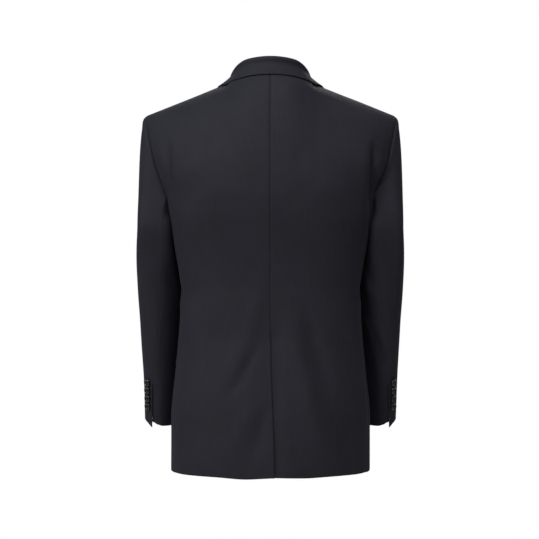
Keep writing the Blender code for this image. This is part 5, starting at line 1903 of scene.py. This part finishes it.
class StitchTree(NodeWork):
    """The node tree that lays stitches along lines."""

    SIZES = ("Pitch", "Length", "Width", "Height", "Turn", "Wander")

    def __init__(self, thread: Material) -> None:
        """Builds the tree, for stitches of one thread."""
        self.thread = thread
        super().__init__(bpy.data.node_groups.new("stitches along a line", "GeometryNodeTree"))
        face = self.tree.interface
        face.new_socket("Geometry", in_out="INPUT", socket_type="NodeSocketGeometry")
        for size in self.SIZES:
            face.new_socket(size, in_out="INPUT", socket_type="NodeSocketFloat")
        face.new_socket("Seed", in_out="INPUT", socket_type="NodeSocketInt")
        face.new_socket("Thread", in_out="INPUT", socket_type="NodeSocketMaterial")
        face.new_socket("Geometry", in_out="OUTPUT", socket_type="NodeSocketGeometry")
        self.lay_out()

    def lay_out(self) -> None:
        """Lays out the nodes: points along the lines, turned to them, each with a bead of thread."""
        given = self.node("NodeGroupInput").outputs
        curve = self.out("GeometryNodeMeshToCurve", {"Mesh": given["Geometry"]})
        inputs = {"Curve": curve, "Length": given["Pitch"]}
        dots = self.out("GeometryNodeResampleCurve", inputs, mode="LENGTH")
        tangent = self.out("GeometryNodeInputTangent")
        out = self.out("GeometryNodeInputNamedAttribute", {"Name": "out"}, data_type="FLOAT_VECTOR")
        along = self.out("FunctionNodeAlignRotationToVector", {"Vector": tangent}, axis="X")
        inputs = {"Rotation": along, "Vector": out}
        facing = self.out("FunctionNodeAlignRotationToVector", inputs, axis="Z", pivot_axis="X")
        less = self.sum("SUBTRACT", 0.0, given["Wander"])
        inputs = {"Min": less, "Max": given["Wander"], "Seed": given["Seed"]}
        stray = self.node("FunctionNodeRandomValue", inputs, data_type="FLOAT")
        stray = next(socket for socket in stray.outputs if socket.enabled)
        turn = self.plus(given["Turn"], stray)
        swing = self.out("ShaderNodeCombineXYZ", {"Z": turn})
        swing = self.out("FunctionNodeEulerToRotation", {0: swing})
        inputs = {"Rotation": facing, "Rotate By": swing}
        turned = self.out("FunctionNodeRotateRotation", inputs, rotation_space="LOCAL")
        bead = self.out("GeometryNodeMeshUVSphere", {"Segments": 8, "Rings": 4, "Radius": 0.5})
        inputs = {"X": given["Length"], "Y": given["Width"], "Z": given["Height"]}
        size = self.out("ShaderNodeCombineXYZ", inputs)
        turned_bead = self.out("FunctionNodeEulerToRotation", {0: (0.0, math.pi / 2, 0.0)})
        bead = self.out("GeometryNodeTransform", {"Geometry": bead, "Rotation": turned_bead})
        bead = self.out("GeometryNodeTransform", {"Geometry": bead, "Scale": size})
        inputs = {"Points": dots, "Instance": bead, "Rotation": turned}
        laid = self.out("GeometryNodeInstanceOnPoints", inputs)
        real = self.out("GeometryNodeRealizeInstances", {"Geometry": laid})
        done = self.out("GeometryNodeSetMaterial", {"Geometry": real, "Material": given["Thread"]})
        self.node("NodeGroupOutput", {"Geometry": done})

    def sew(self, name: str, lines: Sequence[StitchLine], stitch: Stitch, seed: int) -> None:
        """Lays one kind of stitch along some lines as one piece.

        Args:
            name: the piece's name.
            lines: where the stitches go.
            stitch: their kind.
            seed: the seed of their stray turns.
        """
        mesh = bpy.data.meshes.new(f"{name}_lines")
        points = np.concatenate([line.points for line in lines]) * MM
        edges, start = [], 0
        for line in lines:
            edges += [(start + number, start + number + 1) for number in range(len(line.points) - 1)]
            start += len(line.points)
        mesh.from_pydata(points.tolist(), edges, [])
        out = mesh.attributes.new("out", "FLOAT_VECTOR", "POINT")
        out.data.foreach_set("vector", np.concatenate([line.out for line in lines]).ravel())
        guide = add_object(f"{name}_guide", mesh)
        modifier = guide.modifiers.new("stitches", "NODES")
        modifier.node_group = self.tree
        sizes = [stitch.pitch * MM, stitch.length * MM, stitch.width * MM, stitch.height * MM]
        sizes += [math.radians(stitch.turn), math.radians(stitch.wander)]
        values = dict(zip(self.SIZES, sizes)) | {"Seed": seed, "Thread": self.thread}
        for item in self.tree.interface.items_tree:
            if item.in_out == "INPUT" and item.name in values:
                modifier[item.identifier] = values[item.name]
        evaluated = guide.evaluated_get(bpy.context.evaluated_depsgraph_get())
        sewn = bpy.data.meshes.new_from_object(evaluated)
        sewn.name = name
        sewn.shade_smooth()
        bpy.data.objects.remove(guide, do_unlink=True)
        piece = add_object(name, sewn)
        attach(piece, "root")
        log.info("%s: %d faces", name, len(sewn.polygons))


@dataclass
class Stitching:
    """All the visible stitching: pick stitches beside the edges, and worked buttonholes."""

    tree: StitchTree
    tailoring: Tailoring
    inset_line: int = 2  # the grid line that the pick stitches follow, counted from the edge
    hole_half_width: float = 1.25
    hole_lift: float = 0.12
    eyelet: float = 2.1

    def edges(self) -> None:
        """Sews beside the edges of the collar, the lapels, the fronts, the pockets and the waistcoat."""
        faces, near, far = self.tailoring.faces, self.inset_line, -1 - self.inset_line
        line = line_on(faces["collar"], np.s_[far, 3:-3])
        self.tree.sew("stitches_collar", [line], PICK_STITCH, 3)
        for side in Side:
            free, outer = side.pick((near, far), (far, near))
            lapel, front = faces[side.of("lapel")], faces[side.of("front")]
            flap, vest = faces[side.of("pocket_flap")], faces[side.of("vest_front")]
            half = lapel.shape[1] // 2
            below = int(np.sum(front[:, free, 2] < BREAK_Z - 4))
            lines = [
                line_on(lapel, np.s_[2:-2, outer]),
                line_on(lapel, np.s_[far, side.pick(slice(half, -2), slice(2, half))]),
                line_on(front, np.s_[2:below, free]),
                line_on(flap, np.s_[near, 3:-3]),
                line_on(flap, np.s_[3:-6, near]),
                line_on(flap, np.s_[3:-6, far]),
                line_on(vest, np.s_[2:-4, free]),
            ]
            self.tree.sew(side.of("stitches_edges"), lines, PICK_STITCH, 5 + side.value)
        welt = faces["breast_welt"]
        lines = [line_on(welt, np.s_[1:-1, 2]), line_on(welt, np.s_[1:-1, -3])]
        self.tree.sew("stitches_breast_welt", lines, EDGE_STITCH, 11)

    def hole(self, start: Grid, along: Grid, out: Grid, length: float) -> StitchLine:
        """A worked buttonhole's outline: two rows and a round eye at its start.

        Args:
            start: the eye's middle.
            along: the unit direction of the slit.
            out: the unit direction off the cloth.
            length: the slit's length.

        Returns:
            The line that its stitches follow.
        """
        beside = np.cross(out, along)
        places = [(length, self.hole_half_width), (self.eyelet, self.hole_half_width)]
        for angle in np.radians(np.arange(50, 311, 20)):
            places.append((self.eyelet * math.cos(angle), self.eyelet * math.sin(angle)))
        places += [(self.eyelet, -self.hole_half_width), (length, -self.hole_half_width)]
        points = np.array([start + along * far + beside * side for far, side in places])
        return StitchLine(points, np.broadcast_to(out, points.shape).copy())

    def settle(self, line: StitchLine, face: Grid) -> StitchLine:
        """Drops a line onto the nearest cloth of a piece."""
        flat = face.reshape(-1, 3)
        normal = normals_of(face).reshape(-1, 3)
        nearest = np.argmin(np.linalg.norm(line.points[:, None] - flat[None], axis=2), axis=1)
        out = normal[nearest]
        gap = ((line.points - flat[nearest]) * out).sum(axis=1, keepdims=True)
        return StitchLine(line.points - out * (gap - self.hole_lift), out)

    def holes(self, name: str, lines: Sequence[StitchLine], seed: int) -> None:
        """Sews some buttonholes as one piece."""
        self.tree.sew(name, lines, HOLE_STITCH, seed)


# Buttons


class TurnPoint(NamedTuple):
    """A point of a button's turned profile: how far in from its rim, and its height."""

    inset: float
    height: float


@dataclass
class HornButton:
    """A four-hole button turned with a raised rim, sewn on with two bars of thread and a wound shank."""

    size: float
    horn: Material
    thread: Material
    sides: int = 44
    hole_reach: float = 0.155  # from the middle, as a share of its size
    hole_radius: float = 0.062
    bar: float = 0.36
    bar_rise: float = 0.55  # how far a bar's middle stands over the dish
    bar_foot: float = -1.6  # and how deep its ends go
    shank: Triple = (1.5, 1.3, 2.4)  # its radii and its length
    profile: tuple[TurnPoint, ...] = (
        TurnPoint(1.6, 0.0),
        TurnPoint(0.8, 0.05),
        TurnPoint(0.25, 0.45),
        TurnPoint(0.0, 1.1),
        TurnPoint(0.0, 2.3),
        TurnPoint(0.3, 3.0),
        TurnPoint(0.9, 3.45),
        TurnPoint(1.5, 3.5),
        TurnPoint(2.1, 3.2),
        TurnPoint(2.7, 2.75),
        TurnPoint(3.5, 2.5),
    )

    def blank(self) -> Mesh:
        """The turned blank with its four holes bored."""
        work = bmesh.new()
        rings = []
        for point in self.profile:
            reach = self.size / 2 - point.inset
            ring = []
            for number in range(self.sides):
                angle = 2 * math.pi * number / self.sides
                ring.append(work.verts.new((reach * math.cos(angle), reach * math.sin(angle), point.height)))
            rings.append(ring)
        for low, high in zip(rings, rings[1:]):
            for number in range(self.sides):
                after = (number + 1) % self.sides
                work.faces.new((low[number], low[after], high[after], high[number]))
        work.faces.new(rings[0][::-1])
        work.faces.new(rings[-1])
        blank, drill = add_worked("button_blank", work), self.drill()
        cut = blank.modifiers.new("holes", "BOOLEAN")
        cut.object, cut.operation, cut.solver = drill, "DIFFERENCE", "EXACT"
        bored = bpy.data.meshes.new_from_object(blank.evaluated_get(bpy.context.evaluated_depsgraph_get()))
        for item in (blank, drill):
            bpy.data.objects.remove(item, do_unlink=True)
        return bored

    def drill(self) -> Object:
        """Four pins where the holes go."""
        work = bmesh.new()
        radius = self.size * self.hole_radius
        for x, y in self.places():
            add_pin(work, (x, y, 2.0), radius, radius, 8, 14)
        return add_worked("button_drill", work)

    def places(self) -> list[Place]:
        """The holes' middles."""
        reach = self.size * self.hole_reach / math.sqrt(2) * 1.2
        return [(reach, reach), (-reach, reach), (-reach, -reach), (reach, -reach)]

    def thread_work(self, work: bmesh.types.BMesh) -> None:
        """Adds the bars over the dish, a few strands each, and the shank beneath."""
        floor_z = self.profile[-1].height
        first = self.places()[0][0]
        for row in (first, -first):
            for strand in (-0.5, 0.0, 0.5):
                places = []
                for share in np.linspace(-1, 1, 9):
                    x = first * float(share)
                    over = self.bar_rise * math.cos(share * math.pi / 2) ** 0.6
                    over = over if abs(share) < 1 else self.bar_foot
                    places.append(Vector((x, row + strand * (1 - 0.3 * abs(share)), floor_z + over)))
                add_strand(work, places, self.bar)
        add_pin(work, (0, 0, -0.7), *self.shank, 16)

    def make(self, node: str, centre: Grid, normal: Grid) -> None:
        """Args:
            node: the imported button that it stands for.
            centre: the middle of its back.
            normal: the direction it faces.
        """
        mesh = self.blank()
        mesh.name = f"horn_{node}"
        mesh.materials.clear()
        mesh.materials.append(self.horn)
        mesh.materials.append(self.thread)
        work = bmesh.new()
        work.from_mesh(mesh)
        known = set(work.faces)
        self.thread_work(work)
        for face in work.faces:
            face.smooth = True
            face.material_index = 0 if face in known else 1
        turn = Vector(normal).to_track_quat("Z", "Y").to_matrix().to_4x4()
        place = Matrix.Translation(Vector(centre) * MM) @ turn @ Matrix.Scale(MM, 4)
        bmesh.ops.transform(work, matrix=place, verts=work.verts)
        work.to_mesh(mesh)
        work.free()
        mesh.set_sharp_from_angle(angle=math.radians(48))
        piece = add_object(f"horn_{node}", mesh)
        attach(piece, "root")
        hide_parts(node)
        log.info("%s: %d faces", piece.name, len(mesh.polygons))


def add_worked(name: str, work: bmesh.types.BMesh) -> Object:
    """A new object of finished mesh work."""
    mesh = bpy.data.meshes.new(name)
    work.to_mesh(mesh)
    work.free()
    return add_object(name, mesh)


def add_pin(
    work: bmesh.types.BMesh, centre: Triple, low: float, high: float, depth: float, sides: int
) -> None:
    """Adds an upright pin with a radius at each end."""
    place = Matrix.Translation(centre)
    bmesh.ops.create_cone(
        work, cap_ends=True, segments=sides, radius1=low, radius2=high, depth=depth, matrix=place
    )


def add_strand(work: bmesh.types.BMesh, places: Sequence[Vector], radius: float, sides: int = 7) -> None:
    """Adds a closed tube of thread through some places that run along X."""
    rings, side = [], Vector((0, 1, 0))
    angles = [2 * math.pi * step / sides for step in range(sides)]
    for number, place in enumerate(places):
        before, after = places[max(number - 1, 0)], places[min(number + 1, len(places) - 1)]
        up = (after - before).normalized().cross(side).normalized()
        spokes = [side * math.cos(angle) + up * math.sin(angle) for angle in angles]
        rings.append([work.verts.new(place + spoke * radius) for spoke in spokes])
    for low, high in zip(rings, rings[1:]):
        for step in range(sides):
            after = (step + 1) % sides
            work.faces.new((low[step], high[step], high[after], low[after]))
    work.faces.new(rings[0])
    work.faces.new(rings[-1][::-1])


@dataclass
class ButtonRows:
    """The jacket's two front buttons, four at each cuff, and the waistcoat's five."""

    horn: Material
    thread: Material
    sleeves: Sleeves
    front_size: float = 20.0
    cuff_size: float = 14.2
    vest_size: float = 15.0
    cuff_rise: float = 36.0
    cuff_step: float = 14.8
    cuff_angle: float = 73.0
    probe: float = 5.0

    def facing_front(self, node: str) -> Grid:
        """The middle of the back of a packed button that faces forward."""
        low, high = (np.array(corner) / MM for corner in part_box(node))
        return np.array([(low[0] + high[0]) / 2, high[1], (low[2] + high[2]) / 2])

    def cuff_place(self, number: int, side: Side) -> tuple[Grid, Grid]:
        """The middle of a cuff button's back, and its direction."""
        z = self.sleeves.cuff_z + self.cuff_rise + self.cuff_step * number
        heights, angles = np.array([0, 1, 0]) * self.probe, np.array([0, 0, -1]) * self.probe
        place, over, beside = self.sleeves.ring(z + heights, self.cuff_angle + angles)
        normal = np.cross(beside - place, over - place)
        normal *= np.sign(normal[0]) / np.linalg.norm(normal)
        place = place + normal * 2 * SEAM_GAP
        flip = np.array([side.value, 1, 1])
        return place * flip, normal * flip

    def build(self) -> None:
        """Makes them all."""
        for row, size, count in (("front", self.front_size, 2), ("vest", self.vest_size, 5)):
            button = HornButton(size, self.horn, self.thread)
            for number in range(1, count + 1):
                node = f"{row}_button_{number}"
                button.make(node, self.facing_front(node), FORWARD)
        cuff = HornButton(self.cuff_size, self.horn, self.thread)
        for side in Side:
            for number in range(4):
                place, normal = self.cuff_place(number, side)
                cuff.make(f"{side.of('cuff_button')}_{number + 1}", place, normal)


HOLE_LENGTH = {"front": 23.0, "lapel": 19.0, "vest": 16.0, "cuff": 14.0}


def sew_holes(stitching: Stitching, buttons: ButtonRows) -> None:
    """Works the buttonholes beside the buttons and in the left lapel."""
    faces = stitching.tailoring.faces
    aside = np.array([1.0, 0.0, 0.0])
    lines = []
    for number in (1, 2):
        place = buttons.facing_front(f"front_button_{number}") - aside * 1.5
        hole = stitching.hole(place, aside, FORWARD, HOLE_LENGTH["front"])
        lines.append(stitching.settle(hole, faces["front_left"]))
    lapel = faces["lapel_left"]
    row, column = round(lapel.shape[0] * 0.9), round(lapel.shape[1] * 0.78)
    along, out = unit(lapel[row, column - 6] - lapel[row, column]), normals_of(lapel)[row, column]
    hole = stitching.hole(lapel[row, column], along, out, HOLE_LENGTH["lapel"])
    lines.append(stitching.settle(hole, lapel))
    stitching.holes("buttonholes_front", lines, 17)
    lines = []
    for number in range(1, 6):
        place = buttons.facing_front(f"vest_button_{number}") - aside
        hole = stitching.hole(place, aside, FORWARD, HOLE_LENGTH["vest"])
        lines.append(stitching.settle(hole, faces["vest_front_left"]))
    stitching.holes("buttonholes_vest", lines, 19)
    for side in Side:
        lines = []
        for number in range(4):
            place, normal = buttons.cuff_place(number, side)
            ahead = np.cross(normal, [0.0, 0.0, 1.0])
            ahead = unit(ahead) * -np.sign(ahead[1])
            hole = stitching.hole(place, ahead, normal, HOLE_LENGTH["cuff"])
            lines.append(stitching.settle(hole, faces[side.of("top_sleeve")]))
        stitching.holes(side.of("buttonholes_cuff"), lines, 23 + side.value)


# The studio


@dataclass
class Studio:
    """A pale floor, soft lights and the camera behind the wearer."""

    floor_z: float = -1.45
    floor_reach: float = 1.9
    camera_place: Triple = (0.0018, 2.6, -0.335)
    field_of_view: float = 21.13
    aim: Triple = (0.0, 0.0, -0.35)
    backdrop: float = 1.0
    ambient: float = 0.13

    def floor(self) -> None:
        """Lays the floor."""
        place = (0, 0, self.floor_z)
        bpy.ops.mesh.primitive_circle_add(
            vertices=96, radius=self.floor_reach, fill_type="NGON", location=place
        )
        floor = bpy.context.object
        floor.name = "floor"
        floor.data.materials.append(StudioPaper().make())

    def lamp(self, name: str, place: Triple, size: float, power: float) -> None:
        """Hangs a square soft light that points at the suit's middle."""
        light = bpy.data.lights.new(name, "AREA")
        light.shape, light.size, light.energy = "SQUARE", size, power
        item = add_object(name, light)
        item.location = place
        item.rotation_euler = (Vector(self.aim) - Vector(place)).to_track_quat("-Z", "Y").to_euler()

    def world(self) -> None:
        """White to the camera, and weaker as a light."""
        world = bpy.data.worlds.new("white studio")
        world.use_nodes = True
        work = NodeWork(world.node_tree)
        seen = work.node("ShaderNodeLightPath").outputs["Is Camera Ray"]
        inputs = {"Value": seen, "To Min": self.ambient, "To Max": self.backdrop}
        strength = work.out("ShaderNodeMapRange", inputs)
        work.fill(work.tree.nodes["Background"], {"Color": (1, 1, 1, 1), "Strength": strength})
        bpy.context.scene.world = world

    def build(self) -> None:
        """Sets everything up."""
        self.floor()
        self.world()
        self.lamp("key", (1.5, 2.6, 1.5), 1.1, 42.0)
        self.lamp("fill", (-0.5, 2.2, 2.2), 1.1, 22.0)
        self.lamp("side", (2.6, 1.2, 0.6), 1.1, 15.0)
        self.lamp("top", (0.0, 0.6, 2.8), 1.1, 17.0)
        self.lamp("front", (-0.3, -2.6, 1.0), 1.8, 26.0)
        camera = bpy.data.cameras.new("camera")
        camera.angle = math.radians(self.field_of_view)
        item = add_object("camera", camera)
        item.location = self.camera_place
        item.rotation_euler = (math.pi / 2, 0.0, math.pi)
        bpy.context.scene.camera = item
        bpy.context.scene.view_settings.view_transform = "Standard"


def main() -> None:
    """Builds the suit and its studio."""
    logging.basicConfig(level=logging.INFO, format="%(name)s %(message)s")
    Studio().build()
    wool, satin = Worsted().make(), Satin().make()
    thread, horn = SilkThread().make(), Horn().make()
    tailoring = Tailoring([wool, satin])
    JacketBack().build(tailoring)
    JacketSide().build(tailoring)
    front = JacketFront()
    front.build(tailoring)
    lapels = Lapels(front)
    lapels.build(tailoring)
    Collar(lapels).build(tailoring)
    sleeves = Sleeves()
    sleeves.build(tailoring)
    HipPockets().build(tailoring)
    BreastPocket().build(tailoring)
    Waistcoat().build(tailoring, satin)
    buttons = ButtonRows(horn, thread, sleeves)
    buttons.build()
    stitching = Stitching(StitchTree(thread), tailoring)
    stitching.edges()
    sew_holes(stitching, buttons)


if __name__ == "__main__":
    main()
